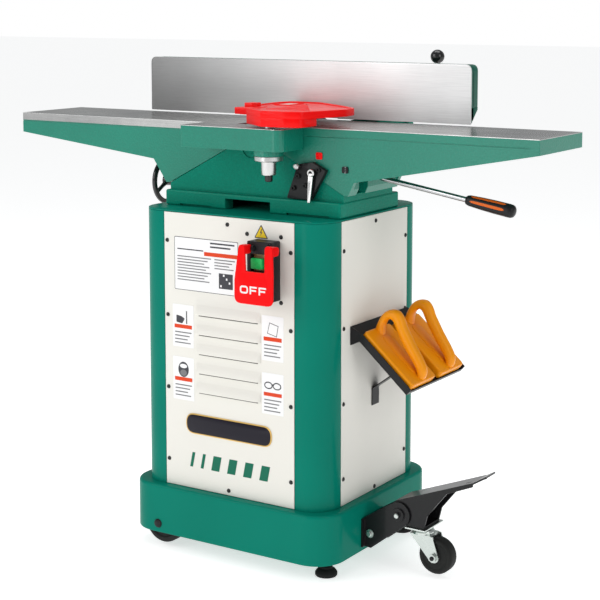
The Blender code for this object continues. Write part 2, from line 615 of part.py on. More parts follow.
def make_motor():
    profile = [(0, 0.1380), (0.0078, 0.1380), (0.0078, 0.1050), (0.030, 0.1050), (0.060, 0.0990), (0.068, 0.0900),
               (0.068, -0.0750), (0.060, -0.0850), (0.020, -0.0900), (0, -0.0900)]
    motor = turned("motor", profile, (0, 0, MOTOR_Z), "y", GREY, 28)
    pod = box("capacitor_pod", (0.040, 0.088), (-0.050, 0.040), (MOTOR_Z - 0.020, MOTOR_Z + 0.022), bevel=0.008,
              tool=True)
    foot = box("motor_feet", (-0.065, 0.065), (-0.045, 0.050), (0.2553, 0.290), tool=True)
    return weld(motor, pod, foot)


def make_motor_mount():
    outline = [(-0.090, PLINTH_Z1 + TOUCH), (-0.090, 0.2550), (0.090, 0.2550), (0.090, PLINTH_Z1 + TOUCH),
               (0.086, PLINTH_Z1 + TOUCH), (0.086, 0.2510), (-0.086, 0.2510), (-0.086, PLINTH_Z1 + TOUCH)]
    return slab("motor_mount", outline, (-0.055, 0.060), "y", GREY)


def make_belt_guard():
    """Rear cover over the cutterhead pulley and belt, open below and to the front."""
    wall, low = 0.0018, TOP_Z1 + TOUCH
    outer = [(-0.046, low), (0.046, low)] + arc(0, HEAD_Z, 0.0318, 5, 175, 12)
    inner = [(-0.046 + wall, low - 0.01), (0.046 - wall, low - 0.01)] + arc(0, HEAD_Z, 0.0300, 5, 175, 12)
    cover = slab("belt_guard", outer, (0.1135, 0.1445), "y", BLACK)
    return cut(cover, slab("belt_guard_inside", inner, (0.10, 0.1445 - wall), "y", tool=True))


# ---- fence -------------------------------------------------------------------
HINGE_X = (0.070, 0.190)


def make_fence():
    """Cast fence, hollow at the back, chamfered below so that it can lean back."""
    rear = FENCE_Y + FENCE_T
    section = [(FENCE_Y, FENCE_Z0), (FENCE_Y + 0.0035, FENCE_Z0), (rear, FENCE_Z0 + 0.0265),
               (rear, FENCE_Z1), (FENCE_Y, FENCE_Z1)]
    fence = slab("fence", section, (FENCE_X0, FENCE_X1), "x", GROUND)
    edges = (FENCE_X0, -0.205, -0.025, HINGE_X[0] - 0.006, HINGE_X[1] + 0.006, 0.262, FENCE_X1)
    rib = 0.006
    for i, (left, right) in enumerate(zip(edges, edges[1:])):
        if i == 3:
            continue
        pocket = box("fence_pocket_%d" % i, (left + rib, right - rib), (FENCE_Y + 0.0125, rear + 0.01),
                     (FENCE_Z0 + 0.031, FENCE_Z1 - 0.009), tool=True)
        cut(fence, pocket)
    knuckle = rod("fence_knuckle", (0, HINGE_Y, HINGE_Z), KNUCKLE_R, (0.100, 0.160), "x", tool=True)
    root = box("knuckle_root", (0.100, 0.160), (0.094, 0.101), (HINGE_Z, HINGE_Z + 0.012), tool=True)
    weld(fence, knuckle, root)
    for x0, x1 in ((HINGE_X[0] - 0.001, 0.0995), (0.1605, HINGE_X[1] + 0.001)):
        cut(fence, box("lug_notch", (x0, x1), (FENCE_Y + 0.0036, rear + 0.01), (0.82, 0.8745), tool=True))
    cut(fence, rod("hinge_bore", (0, HINGE_Y, HINGE_Z), 0.0033, (0.05, 0.21), "x", sides=12, tool=True))
    return pivot(fence, (0.13, HINGE_Y, HINGE_Z))


def make_fence_handle():
    """Pull handle on the back of the fence: bent steel rod with a ball knob."""
    start = (0.262, FENCE_Y + FENCE_T + TOUCH, 0.9060)
    bend = (0.262, 0.1360, 0.9075)
    top = (0.262, 0.1480, 0.9430)
    handle = tube("fence_handle", [start, (0.262, 0.1290, 0.9060), bend, (0.262, 0.1430, 0.9150), top], 0.0040, STEEL)
    ball_profile = [(0.0135 * math.sin(math.radians(a)), 0.0135 * math.cos(math.radians(a)))
                    for a in range(0, 181, 15)]
    knob = turned("fence_ball_knob", ball_profile, (0.262, 0.1495, 0.9430 + 0.0139), "z", BLACK_PLASTIC, 20)
    return handle, knob


def make_fence_carriage():
    low, high = 0.8325, 0.8405
    plate = box("fence_carriage", HINGE_X, (0.1180, REAR_Y), (low, high), CAST_GREEN)
    for label, x in (("left", (HINGE_X[0], 0.0990)), ("right", (0.1610, HINGE_X[1]))):
        lug = rod("carriage_lug_" + label, (0, HINGE_Y, HINGE_Z), 0.0068, x, "x", tool=True)
        arm = box("carriage_arm_" + label, x, (HINGE_Y, 0.1200), (low, high), tool=True)
        weld(plate, lug, arm)
    for label, x in (("left", (0.0900, 0.0995)), ("right", (0.1605, 0.1700))):
        cheek = box("carriage_cheek_" + label, x, (0.2050, REAR_Y), (0.8025, low + 0.001), tool=True)
        weld(plate, cheek)
    post = rod("lock_stud_boss", (0.130, 0.2000, 0), 0.0100, (high - 0.001, 0.8520), "z", tool=True)
    weld(plate, post)
    cut(plate, rod("carriage_bore", (0, HINGE_Y, HINGE_Z), 0.0033, (0.05, 0.21), "x", sides=12, tool=True))
    return pivot(plate, (0.13, 0.2, low))


def make_fence_small_parts():
    hinge = rod("fence_hinge_rod", (0, HINGE_Y, HINGE_Z), 0.0030, (HINGE_X[0] - 0.0005, HINGE_X[1] + 0.0005),
                "x", STEEL, 12)
    lever = rod("fence_lock_lever", (0.130, 0.2000, 0), 0.0095, (0.8525, 0.8680), "z", BLACK, 20)
    weld(lever, tube("lock_lever_arm", [(0.130, 0.200, 0.861), (0.170, 0.200, 0.866), (0.205, 0.200, 0.878)],
                     0.0050, tool=True))
    pivot(lever, (0.130, 0.200, 0.8525))
    return hinge, lever


def make_fence_support():
    """Bar behind the base that the fence carriage slides on."""
    bar = box("fence_support", (0.1000, 0.1600), (0.0970, REAR_Y), (0.8000, 0.8320), CAST_GREEN)
    post = box("support_post", (0.0900, 0.1700), (0.0970, 0.1120), (BASE_FLANGE_Z + TOUCH, 0.8015), tool=True)
    web = slab("support_web", [(0.1100, 0.7250), (0.2050, 0.8010), (0.1100, 0.8010)], (0.124, 0.136), "x",
               tool=True)
    return weld(bar, post, web)


# ---- controls ----------------------------------------------------------------
def make_infeed_lever():
    """Depth-of-cut lever: hub on a cross shaft, steel rod and plastic grip."""
    px, pz = LEVER_PIVOT
    y = -0.046
    shaft = rod("infeed_lever", (px, 0, pz), 0.0060, (-0.0935, 0.0), "y", STEEL, 20)
    hub = rod("lever_hub", (px, 0, pz), 0.0110, (-0.056, -0.036), "y", tool=True)
    start, elbow, end = (px, y, pz), (0.2560, y, 0.7410), (0.4360, y, 0.7120)
    weld(shaft, hub, tube("lever_bar", [start, elbow, end], 0.0050, tool=True))
    pivot(shaft, (px, y, pz))
    grip_dir = (Vector(end) - Vector(elbow)).normalized()
    a = Vector(end) - grip_dir * 0.010
    profile = [(0.0054, 0.0), (0.0075, 0.0), (0.0098, 0.006), (0.0120, 0.050), (0.0122, 0.088),
               (0.0085, 0.0935), (0, 0.0945)]
    bored = [(0, 0.0130), (0.0054, 0.0130), (0.0054, 0.0)]
    outline = profile[::-1] + bored[::-1][1:]
    grip = turned("lever_grip", outline, (0, 0, 0), "z", BLACK_PLASTIC, 16)
    grip.rotation_euler = grip_dir.to_track_quat("Z", "Y").to_euler()
    grip.location = a
    return shaft, grip


def make_handwheel():
    """Outfeed handwheel: rim, three spokes and hub on a shaft that enters the base's end."""
    hx, hy, hz = HANDWHEEL
    minor = 0.0052
    rim_r = HANDWHEEL_R - minor
    bpy.ops.mesh.primitive_torus_add(major_radius=rim_r, minor_radius=minor, major_segments=28,
                                     minor_segments=8, location=HANDWHEEL)
    wheel = bpy.context.object
    wheel.data.transform(TURN["x"])
    adopt(wheel, "handwheel", BLACK_PLASTIC)
    hub = rod("wheel_hub", HANDWHEEL, 0.0110, (hx - 0.008, hx + 0.0140), "x", tool=True)
    shaft = rod("wheel_shaft", HANDWHEEL, 0.0055, (hx + 0.010, -0.1840), "x", sides=16, tool=True)
    weld(wheel, hub, shaft)
    for i in range(3):
        a = math.radians(90 + 120 * i)
        tip = (hx, hy + rim_r * math.cos(a), hz + rim_r * math.sin(a))
        weld(wheel, tube("wheel_spoke_%d" % i, [HANDWHEEL, tip], 0.0040, tool=True))
    a = math.radians(30)
    ky, kz = hy + rim_r * math.cos(a), hz + rim_r * math.sin(a)
    profile = [(0, -0.0300), (0.0070, -0.0290), (0.0080, -0.0240), (0.0045, -0.0020), (0.0045, 0.0), (0, 0.0)]
    knob = turned("handwheel_knob", profile, (hx - minor - TOUCH, ky, kz), "x", BLACK_PLASTIC, 16)
    pivot(knob, (hx - minor - TOUCH, ky, kz))
    pivot(wheel, HANDWHEEL)
    return wheel, knob


def make_lock_bracket():
    """Black bracket on the base that clamps the infeed table, with its bolts."""
    back, front = -LEDGE_GAP_Y - TOUCH, -LEDGE_GAP_Y - 0.0115
    outline = [(0.0822, 0.6990), (0.1351, 0.6985), (0.1675, 0.7544), (0.1380, 0.7690), (0.1066, 0.7636)]
    bracket = slab("lock_bracket", outline, (front, back), "y", BLACK)
    stud = rod("lock_stud", (0.1410, 0, 0.7500), 0.0035, (front - 0.0120, front + 0.001), "y", sides=12, tool=True)
    for i, (bx, bz) in enumerate(((0.1085, 0.7420), (0.0985, 0.7190), (0.1240, 0.7250))):
        head = rod("bracket_bolt_%d" % i, (bx, 0, bz), 0.0045, (front - 0.0040, front + 0.001), "y",
                   sides=12, tool=True)
        weld(bracket, head)
    knob = rod("gib_knob", (0.1075, 0, 0.7600), 0.0060, (front - 0.0085, front + 0.001), "y", sides=14, tool=True)
    return weld(bracket, stud, knob), front


def make_lock_lever(front):
    """Chrome lever on the bracket's stud; turning it locks the infeed table."""
    y0, y1 = front - 0.0105, front - 0.0045
    lever = rod("lock_lever", (0.1410, 0, 0.7500), 0.0075, (y0, y1), "y", STEEL, 18)
    blade = slab("lock_blade", [(0.1372, 0.7500), (0.1335, 0.6960), (0.1385, 0.6940), (0.1448, 0.7500)],
                 (y0 + 0.001, y1 - 0.001), "y", tool=True)
    bore = rod("lock_lever_bore", (0.1410, 0, 0.7500), 0.0038, (y0 - 0.01, y1 + 0.01), "y", sides=12, tool=True)
    cut(weld(lever, blade), bore)
    return pivot(lever, (0.1410, y0, 0.7500))


SWITCH_X, SWITCH_Z = (0.0560, 0.1100), (0.5180, 0.6290)
SWITCH_Y0 = CAB_Y0 - 0.030


def make_switch():
    """Paddle switch: box, hinged stop paddle with a window, and a start button inside it."""
    face = SWITCH_Y0
    body = box("switch_box", SWITCH_X, (face, CAB_Y0 - TOUCH), SWITCH_Z, BLACK_PLASTIC, bevel=0.004)
    well = box("button_well", (0.0650, 0.0965), (face - 0.01, face + 0.012), (0.5730, 0.6060), tool=True)
    ears = [box("hinge_ear_" + side, x, (face - 0.0085, face + 0.002), (0.6110, 0.6220), tool=True)
            for side, x in (("left", (0.0704, 0.0744)), ("right", (0.1058, 0.1098)))]
    cut(weld(body, *ears), well)
    button = box("start_button", (0.0680, 0.0930), (face - 0.0050, face + 0.0085), (0.5790, 0.5990),
                 GREEN_BUTTON, bevel=0.0015)
    pivot(button, (0.0805, face, 0.589))
    arms_z, low = 0.6195, 0.5180
    y_out, y_in = -REAR_Y, -REAR_Y + 0.0040
    outline = ([(0.0510, 0.585), (0.0475, 0.560), (0.0470, 0.532)]
               + arc(0.0610, 0.5320, 0.014, 180, 270, 4) + arc(0.1170, 0.5320, 0.014, 270, 360, 4)
               + [(0.1315, 0.575), (0.1300, 0.600)] + arc(0.1218, arms_z, 0.0082, 0, 180, 6)
               + [(0.1134, 0.578), (0.0720, 0.578), (0.0698, 0.600)] + arc(0.0636, arms_z, 0.0062, 0, 180, 6))
    plate = slab("stop_paddle", outline, (y_out, y_in), "y", RED)
    for label, x in (("left", (0.0575, 0.0695)), ("right", (0.1140, 0.1298))):
        arm = box("paddle_arm_" + label, x, (y_in - 0.001, face - 0.0025), (0.6080, 0.6250), tool=True)
        weld(plate, arm)
    skirt = box("paddle_lip", (0.0580, 0.1200), (y_in - 0.001, face - 0.0150), (low, low + 0.004), tool=True)
    weld(plate, skirt)
    pivot(plate, (0.0890, face - 0.004, 0.6165))
    return body, plate, button


# ---- push-block holder and push blocks --------------------------------------
def tray_frame():
    """Unit vectors down the tray's slope and out of its face, and its length."""
    (x0, z0), (x1, z1) = TRAY_TOP, TRAY_END
    length = math.hypot(x1 - x0, z1 - z0)
    down = ((x1 - x0) / length, (z1 - z0) / length)
    return down, (-down[1], down[0]), length


def on_tray(along, out):
    """Point (x, z) at a distance down the tray and a distance out of its floor."""
    down, normal, _ = tray_frame()
    return (TRAY_TOP[0] + down[0] * along + normal[0] * out, TRAY_TOP[1] + down[1] * along + normal[1] * out)


def make_holder():
    """Folded steel tray: wall flange, sloping floor with side rails and a lower lip, and a strut."""
    _, _, length = tray_frame()
    t, rail = 0.0020, 0.0150
    wall = CAB_X1 + TOUCH
    floor = [(wall, 0.4650), (wall + t, 0.4650), on_tray(0.002, t), on_tray(length - t, t),
             on_tray(length - t, 0.008), on_tray(length, 0.008), on_tray(length, 0), on_tray(0, 0),
             (wall + t, 0.4300), (wall, 0.4300)]
    tray = slab("push_block_holder", floor, TRAY_Y, "y", BLACK)
    for label, y in (("near", (TRAY_Y[0], TRAY_Y[0] + t)), ("far", (TRAY_Y[1] - t, TRAY_Y[1]))):
        side = [(wall, 0.4650), on_tray(-0.004, rail), on_tray(length, rail), on_tray(length, 0),
                on_tray(0, 0), (wall, 0.4300)]
        weld(tray, slab("tray_side_" + label, side, y, "y", tool=True))
    strut = [(wall, 0.2975), (wall + t, 0.2975), (wall + t, 0.3300), on_tray(0.080, 0.001), on_tray(0.077, 0.001),
             (wall, 0.3310)]
    weld(tray, slab("tray_strut", strut, (0.004, 0.030), "y", tool=True))
    return tray


BLOCK_W, BLOCK_L = 0.0920, 0.1350
BLOCK_START = -0.0060          # upper end of a block, along the tray


def make_push_block(name, y0):
    """Push block: flat base with a loop handle along its middle."""
    seat = 0.0020 + TOUCH
    base = [on_tray(BLOCK_START, seat + 0.0185), on_tray(BLOCK_START + BLOCK_L, seat + 0.0185),
            on_tray(BLOCK_START + BLOCK_L, seat), on_tray(BLOCK_START + 0.010, seat),
            on_tray(BLOCK_START, seat + 0.010)]
    block = slab(name, base, (y0, y0 + BLOCK_W), "y", ORANGE)
    middle = y0 + BLOCK_W / 2
    loop = [on_tray(s, h) for s, h in
            ((-0.0050, 0.0180), (-0.0110, 0.0320), (-0.0140, 0.0500), (-0.0090, 0.0650), (0.0040, 0.0760),
             (0.0170, 0.0760), (0.0330, 0.0670), (0.0670, 0.0550), (0.0980, 0.0460), (0.1160, 0.0380),
             (0.1250, 0.0260), (0.1260, 0.0180))]
    hole = [on_tray(s, h) for s, h in
            ((0.0140, 0.0212), (0.0030, 0.0340), (0.0010, 0.0460), (0.0070, 0.0540), (0.0160, 0.0530),
             (0.0400, 0.0440), (0.0720, 0.0340), (0.1000, 0.0270), (0.1080, 0.0212))]
    handle = slab(name + "_handle", loop, (middle - 0.0115, middle + 0.0115), "y", tool=True)
    finger = slab(name + "_finger_hole", hole, (middle - 0.03, middle + 0.03), "y", tool=True)
    cut(weld(block, handle), finger)
    x, z = on_tray(0.06, 0.02)
    return pivot(block, (x, middle, z))


# ---- pedal caster -------------------------------------------------------------
def make_outrigger():
    """Two black ears welded to a back plate on the plinth; the pedal turns between them."""
    px, pz = PEDAL_PIVOT
    wall = CAB_X1 + PLINTH_OUT + TOUCH
    plate = box("outrigger_bracket", (wall, wall + 0.0040), (-0.0650, 0.0200), (0.0430, 0.0975), BLACK)
    ear = ([(wall, 0.0440), (wall + 0.0170, 0.0420)] + arc(px, pz, 0.0235, -52, 124, 10)
           + [(wall, 0.0975)])
    for label, y in (("near", (PEDAL_Y[0] - 0.0045, PEDAL_Y[0] - 0.0005)),
                     ("far", (PEDAL_Y[1] + 0.0005, PEDAL_Y[1] + 0.0045))):
        weld(plate, slab("ear_" + label, ear, y, "y", tool=True))
    for i, y in enumerate((PEDAL_Y[0] - 0.0060, PEDAL_Y[1] + 0.0060)):
        boss = rod("ear_boss_%d" % i, (px, 0, pz), 0.0125, (y - 0.0020, y + 0.0020), "y", tool=True)
        weld(plate, boss)
    pin = rod("pivot_pin", (px, 0, pz), 0.0060, (PEDAL_Y[0] - 0.0100, PEDAL_Y[1] + 0.0100), "y", sides=16,
              tool=True)
    return weld(plate, pin)


def pedal_line(x):
    """Height of the pedal plate's top face above a given x."""
    return 0.1590 + (x - 0.3343) * math.tan(PEDAL_SLOPE)


def make_pedal():
    """Foot pedal: bent channel with a flat tread, hung on the bracket's pin; it carries the caster."""
    px, pz = PEDAL_PIVOT
    y0, y1 = PEDAL_Y
    t = 0.0035
    x0, x1 = 0.2900, 0.4480
    tread = [(x0, pedal_line(x0)), (x0, pedal_line(x0) - t), (x1, pedal_line(x1) - t), (0.4640, 0.2075),
             (0.4640, 0.2115), (x1, pedal_line(x1))]
    arm = slab("pedal_arm", tread, (y0, y1), "y", BLACK)
    cheek = ([(x0, pedal_line(x0) - 0.001), (px - 0.021, pz + 0.012)] + arc(px, pz, 0.0225, 160, 265, 6)
             + [(0.3060, CASTER_PLATE_Z + TOUCH), (0.3500, CASTER_PLATE_Z + TOUCH),
                (0.3566, 0.1238), (0.3960, pedal_line(0.3960) - 0.010),
                (x1, pedal_line(x1) - 0.008), (x1, pedal_line(x1) - 0.001)])
    for label, y in (("near", (y0, y0 + t)), ("far", (y1 - t, y1))):
        weld(arm, slab("pedal_cheek_" + label, cheek, y, "y", tool=True))
    shelf = box("caster_shelf", (0.3060, 0.3500), (y0, y1), (CASTER_PLATE_Z + TOUCH, CASTER_PLATE_Z + 0.0035),
                tool=True)
    weld(arm, shelf)
    bore = rod("pedal_bore", (px, 0, pz), 0.0065, (y0 - 0.01, y1 + 0.01), "y", sides=16, tool=True)
    corner = slab("tread_corner", [(x1 - 0.004, y0 - 0.01), (x1 + 0.03, y0 - 0.01), (x1 + 0.03, y0 + 0.045)],
                  (0.17, 0.25), "z", tool=True)
    slot = box("tread_slot", (0.4270, 0.4370), (-0.0370, -0.0340), (0.17, 0.23), tool=True)
    cut(arm, bore, corner, slot)
    return pivot(arm, (px, (y0 + y1) / 2, pz))


def make_caster():
    """Swivel caster: fixed plate with its ball race, fork with axle, and wheel."""
    z = CASTER_PLATE_Z
    cx, cy = CASTER_X, CASTER_Y
    plate = box("caster_plate", (cx - 0.0195, cx + 0.0225), (cy - 0.0375, cy + 0.0375), (z - 0.0025, z), ZINC)
    weld(plate, turned("caster_race", [(0, z - 0.0015), (0.0170, z - 0.0015), (0.0170, z - 0.0080),
                                       (0.0060, z - 0.0085), (0, z - 0.0085)], (cx, cy, 0), "z", sides=20,
                       tool=True))
    wx, wz = CASTER_WHEEL
    half, gap = CASTER_W / 2, 0.0015
    y_out, y_in = half + gap + 0.0030, half + gap
    fork = turned("caster_fork", [(0, z - 0.0088), (0.0190, z - 0.0088), (0.0215, z - 0.0120), (0.0215, z - 0.0165),
                                  (0, z - 0.0165)], (cx, cy, 0), "z", ZINC, 24)
    crown = box("fork_crown", (cx - 0.0190, cx + 0.0240), (cy - y_out, cy + y_out), (z - 0.0185, z - 0.0155),
                tool=True)
    leg = ([(cx - 0.0190, z - 0.0165), (wx - 0.0092, wz - 0.006)] + arc(wx, wz, 0.0105, 215, 360, 6)
           + [(cx + 0.0280, z - 0.0165)])
    weld(fork, crown)
    for label, y in (("near", (cy - y_out, cy - y_in)), ("far", (cy + y_in, cy + y_out))):
        weld(fork, slab("fork_leg_" + label, leg, y, "y", tool=True))
    axle = rod("fork_axle", (wx, 0, wz), 0.0045, (cy - y_out - 0.006, cy + y_out + 0.006), "y", sides=12, tool=True)
    weld(fork, axle)
    for i, y in enumerate((cy - y_out - 0.0030, cy + y_out + 0.0030)):
        weld(fork, rod("axle_nut_%d" % i, (wx, 0, wz), 0.0080, (y - 0.0031, y + 0.0031), "y", sides=6, tool=True))
    crown_r = 0.006
    profile = ([(0.0048, half), (CASTER_R - crown_r, half)]
               + arc(CASTER_R - crown_r, half - crown_r, crown_r, 90, 0, 3)[1:]
               + arc(CASTER_R - crown_r, -half + crown_r, crown_r, 0, -90, 3)
               + [(0.0048, -half), (0.0048, half)])
    wheel = turned("caster_wheel", profile, (wx, cy, wz), "y", RUBBER, 24)
    pivot(fork, (cx, cy, z))
    return plate, fork, wheel


# ---- assembly ----------------------------------------------------------------
def assemble():
    plinth = make_plinth()
    make_feet()
    make_transport_wheels()
    make_cabinet()
    make_top_plate()
    make_dust_port()
    make_dust_chute()
    base = make_base()
    outfeed, infeed = make_outfeed(), make_infeed()
    ledge, pointer = make_ledge(), make_pointer()
    post, guard = make_guard_post(), make_guard()
    head = make_cutterhead()
    make_bearing_blocks()
    make_drive()
    make_motor()
    make_motor_mount()
    make_belt_guard()
    fence = make_fence()
    handle, ball = make_fence_handle()
    carriage = make_fence_carriage()
    hinge, fence_lock = make_fence_small_parts()
    make_fence_support()
    lever, grip = make_infeed_lever()
    wheel, knob = make_handwheel()
    bracket, front = make_lock_bracket()
    lock = make_lock_lever(front)
    box_, paddle, button = make_switch()
    holder = make_holder()
    blocks = [make_push_block("push_block_%d" % (i + 1), TRAY_Y[0] + 0.0060 + i * 0.1130) for i in range(2)]
    outrigger = make_outrigger()
    pedal = make_pedal()
    plate, fork, caster = make_caster()
    tree = ((ledge, infeed), (pointer, infeed), (post, infeed), (guard, post), (lever, infeed), (grip, lever),
            (infeed, base), (outfeed, base), (wheel, base), (knob, wheel), (bracket, base), (lock, bracket),
            (fence, carriage), (handle, fence), (ball, handle), (hinge, carriage), (fence_lock, carriage),
            (paddle, box_), (button, box_), (blocks[0], holder), (blocks[1], holder), (outrigger, plinth),
            (pedal, outrigger), (plate, pedal), (fork, plate), (caster, fork))
    for child, parent in tree:
        hang(child, parent)
    for i in range(3):
        hang(bpy.data.objects["knife_%d" % (i + 1)], head)
    hang(bpy.data.objects["cutterhead_pulley"], head)


assemble()
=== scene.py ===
import math

import bmesh
import bpy
import numpy as np
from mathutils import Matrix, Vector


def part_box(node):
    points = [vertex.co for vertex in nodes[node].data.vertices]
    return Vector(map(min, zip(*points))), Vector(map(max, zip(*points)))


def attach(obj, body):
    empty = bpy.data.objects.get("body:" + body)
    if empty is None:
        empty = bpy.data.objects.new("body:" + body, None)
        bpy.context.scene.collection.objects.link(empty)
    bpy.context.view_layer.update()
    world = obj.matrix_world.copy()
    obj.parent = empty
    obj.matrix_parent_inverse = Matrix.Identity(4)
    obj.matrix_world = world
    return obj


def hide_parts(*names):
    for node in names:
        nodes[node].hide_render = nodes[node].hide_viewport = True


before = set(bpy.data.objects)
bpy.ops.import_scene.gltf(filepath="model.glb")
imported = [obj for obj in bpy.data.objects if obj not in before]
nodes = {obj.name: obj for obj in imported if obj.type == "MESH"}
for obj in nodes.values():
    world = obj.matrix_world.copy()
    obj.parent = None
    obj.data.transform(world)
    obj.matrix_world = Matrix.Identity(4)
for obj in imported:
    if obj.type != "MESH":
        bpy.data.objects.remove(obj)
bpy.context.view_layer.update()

scene = bpy.context.scene

# ---- studio: a white cyclorama floor, one big soft key from the operator's left, a weak fill and
# a view from the infeed side at standing height. Nothing here belongs to the machine.
scene.view_settings.view_transform = "Standard"

EYE = (1.6345, -2.4660, 1.0668)      # where the viewer stands, metres
HEADING = math.radians(32.80)        # turned left from looking along +Y
DIP = math.radians(6.74)             # looking slightly down
LENS = 92.0                          # millimetres on a 36 mm frame

camera = bpy.data.objects.new("viewer", bpy.data.cameras.new("viewer"))
camera.location = EYE
camera.rotation_euler = (math.pi / 2 - DIP, 0.0, HEADING)
camera.data.lens = LENS
camera.data.sensor_width = 36.0
camera.data.shift_y = -0.20
scene.collection.objects.link(camera)
scene.camera = camera

world = bpy.data.worlds.new("studio")
world.use_nodes = True
sky = world.node_tree
around, behind = sky.nodes["Background"], sky.nodes.new("ShaderNodeBackground")
around.inputs["Color"].default_value = (0.97, 0.99, 1.0, 1.0)
around.inputs["Strength"].default_value = 0.36         # the light the room gives
behind.inputs["Color"].default_value = (1.0, 1.0, 1.0, 1.0)
behind.inputs["Strength"].default_value = 1.0          # the white sweep that is seen behind
which, either = sky.nodes.new("ShaderNodeLightPath"), sky.nodes.new("ShaderNodeMixShader")
sky.links.new(which.outputs["Is Camera Ray"], either.inputs[0])
sky.links.new(around.outputs[0], either.inputs[1])
sky.links.new(behind.outputs[0], either.inputs[2])
sky.links.new(either.outputs[0], sky.nodes["World Output"].inputs["Surface"])
scene.world = world


def softbox(name, place, aim, size, power):
    """Rectangular area light at place, facing the point aim."""
    light = bpy.data.lights.new(name, "AREA")
    light.shape = "RECTANGLE"
    light.size, light.size_y = size
    light.energy = power
    lamp = bpy.data.objects.new(name, light)
    lamp.location = place
    toward = np.subtract(aim, place)
    across = math.atan2(toward[0], -toward[1])
    tilt = math.atan2(np.hypot(toward[0], toward[1]), -toward[2])
    lamp.rotation_euler = (tilt, 0.0, across + math.pi)
    scene.collection.objects.link(lamp)


softbox("key", (-1.9, -2.7, 2.2), (0.0, 0.0, 0.5), (2.4, 2.2), 46)
softbox("strip", (-0.55, -3.0, 0.85), (0.1, 0.0, 0.85), (0.9, 1.7), 8)
softbox("fill", (2.9, -0.9, 1.8), (0.0, 0.0, 0.5), (1.2, 1.6), 17)
softbox("top", (0.0, 0.3, 3.0), (0.0, 0.0, 0.0), (2.4, 1.4), 34)


# ---- plinth: a folded steel skirt with round corners, painted gloss green, that the cabinet is
# welded on. Its upper rim rolls over to a deck, and its lower rim is turned in.
def rings_to_skin(rings, looped=False):
    """Skin over rings[i, j]: i runs along the piece and j round it; the end rings become flat caps."""
    rows, cols = rings.shape[:2]
    number = np.arange(rows * cols).reshape(rows, cols)
    along = np.vstack([number, number[:1]]) if looped else number
    after = np.roll(along, -1, axis=1)
    faces = np.stack([along[:-1], after[:-1], after[1:], along[1:]], axis=-1).reshape(-1, 4).tolist()
    if not looped:
        faces += [number[0, ::-1].tolist(), number[-1].tolist()]
    return rings.reshape(-1, 3), faces


def sheet_skin(points):
    """Open skin over a grid of points[i, j]."""
    rows, cols = points.shape[:2]
    number = np.arange(rows * cols).reshape(rows, cols)
    quads = np.stack([number[:-1, :-1], number[:-1, 1:], number[1:, 1:], number[1:, :-1]], axis=-1)
    return points.reshape(-1, 3), quads.reshape(-1, 4).tolist()


def piece(name, parts, finish, body, replaces=(), sharp=30, open_skin=False):
    """One object from several skins, with its material, its body and the solids it stands for."""
    verts, faces, start = [], [], 0
    for points, skin in parts:
        verts.append(points)
        faces += [tuple(i + start for i in face) for face in skin]
        start += len(points)
    mesh = bpy.data.meshes.new(name)
    mesh.from_pydata(np.concatenate(verts).tolist(), [], faces)
    work = bmesh.new()
    work.from_mesh(mesh)
    bmesh.ops.remove_doubles(work, verts=work.verts, dist=1e-6)
    if not open_skin:
        bmesh.ops.recalc_face_normals(work, faces=work.faces)
    work.to_mesh(mesh)
    work.free()
    mesh.shade_smooth()
    mesh.set_sharp_from_angle(angle=math.radians(sharp))
    made = bpy.data.objects.new(name, mesh)
    scene.collection.objects.link(made)
    made.data.materials.append(finish)
    if replaces:
        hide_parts(*replaces)
    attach(made, body)
    return made


def copies(skin, offsets):
    """The same skin once at each offset."""
    points, faces = skin
    return [(points + np.asarray(offset), faces) for offset in offsets]


def fillet(corners, radius, steps=5, closed=True):
    """Outline with round corners: at each corner a quadratic curve from one tangent point to the other,
    no longer than nearly half of the shorter side beside it. radius is one number or one per corner."""
    p = np.asarray(corners, float)
    radius = np.broadcast_to(np.asarray(radius, float), len(p))
    back, on = np.roll(p, 1, axis=0) - p, np.roll(p, -1, axis=0) - p
    lb, lo = np.linalg.norm(back, axis=1), np.linalg.norm(on, axis=1)
    back, on = back / lb[:, None], on / lo[:, None]
    half = np.arccos(np.clip((back * on).sum(axis=1), -1, 1)) / 2
    reach = np.minimum(radius / np.tan(np.clip(half, 0.05, 1.57)), 0.49 * np.minimum(lb, lo))
    s = np.linspace(0, 1, steps + 1)[None, :, None]
    start, end = p + back * reach[:, None], p + on * reach[:, None]
    curve = (1 - s) ** 2 * start[:, None] + 2 * s * (1 - s) * p[:, None] + s ** 2 * end[:, None]
    if closed:
        return curve.reshape(-1, p.shape[1])
    return np.concatenate([p[:1], curve[1:-1].reshape(-1, p.shape[1]), p[-1:]])


def inset(outline, by):
    """Outline moved inwards by a distance, each corner along its mitre."""
    on = np.roll(outline, -1, axis=0) - outline
    on /= np.maximum(np.linalg.norm(on, axis=1), 1e-12)[:, None]
    x, y = outline.T
    turn = 1 if np.sum(x * np.roll(y, -1) - y * np.roll(x, -1)) > 0 else -1
    normal = turn * np.stack([-on[:, 1], on[:, 0]], axis=1)
    before = np.roll(normal, 1, axis=0)
    mitre = (before + normal) / np.maximum(1 + (before * normal).sum(axis=1), 0.3)[:, None]
    return outline + by * mitre


ORDER = {"z": (0, 1, 2), "y": (0, 2, 1), "x": (2, 0, 1)}    # where (a, b, depth) go


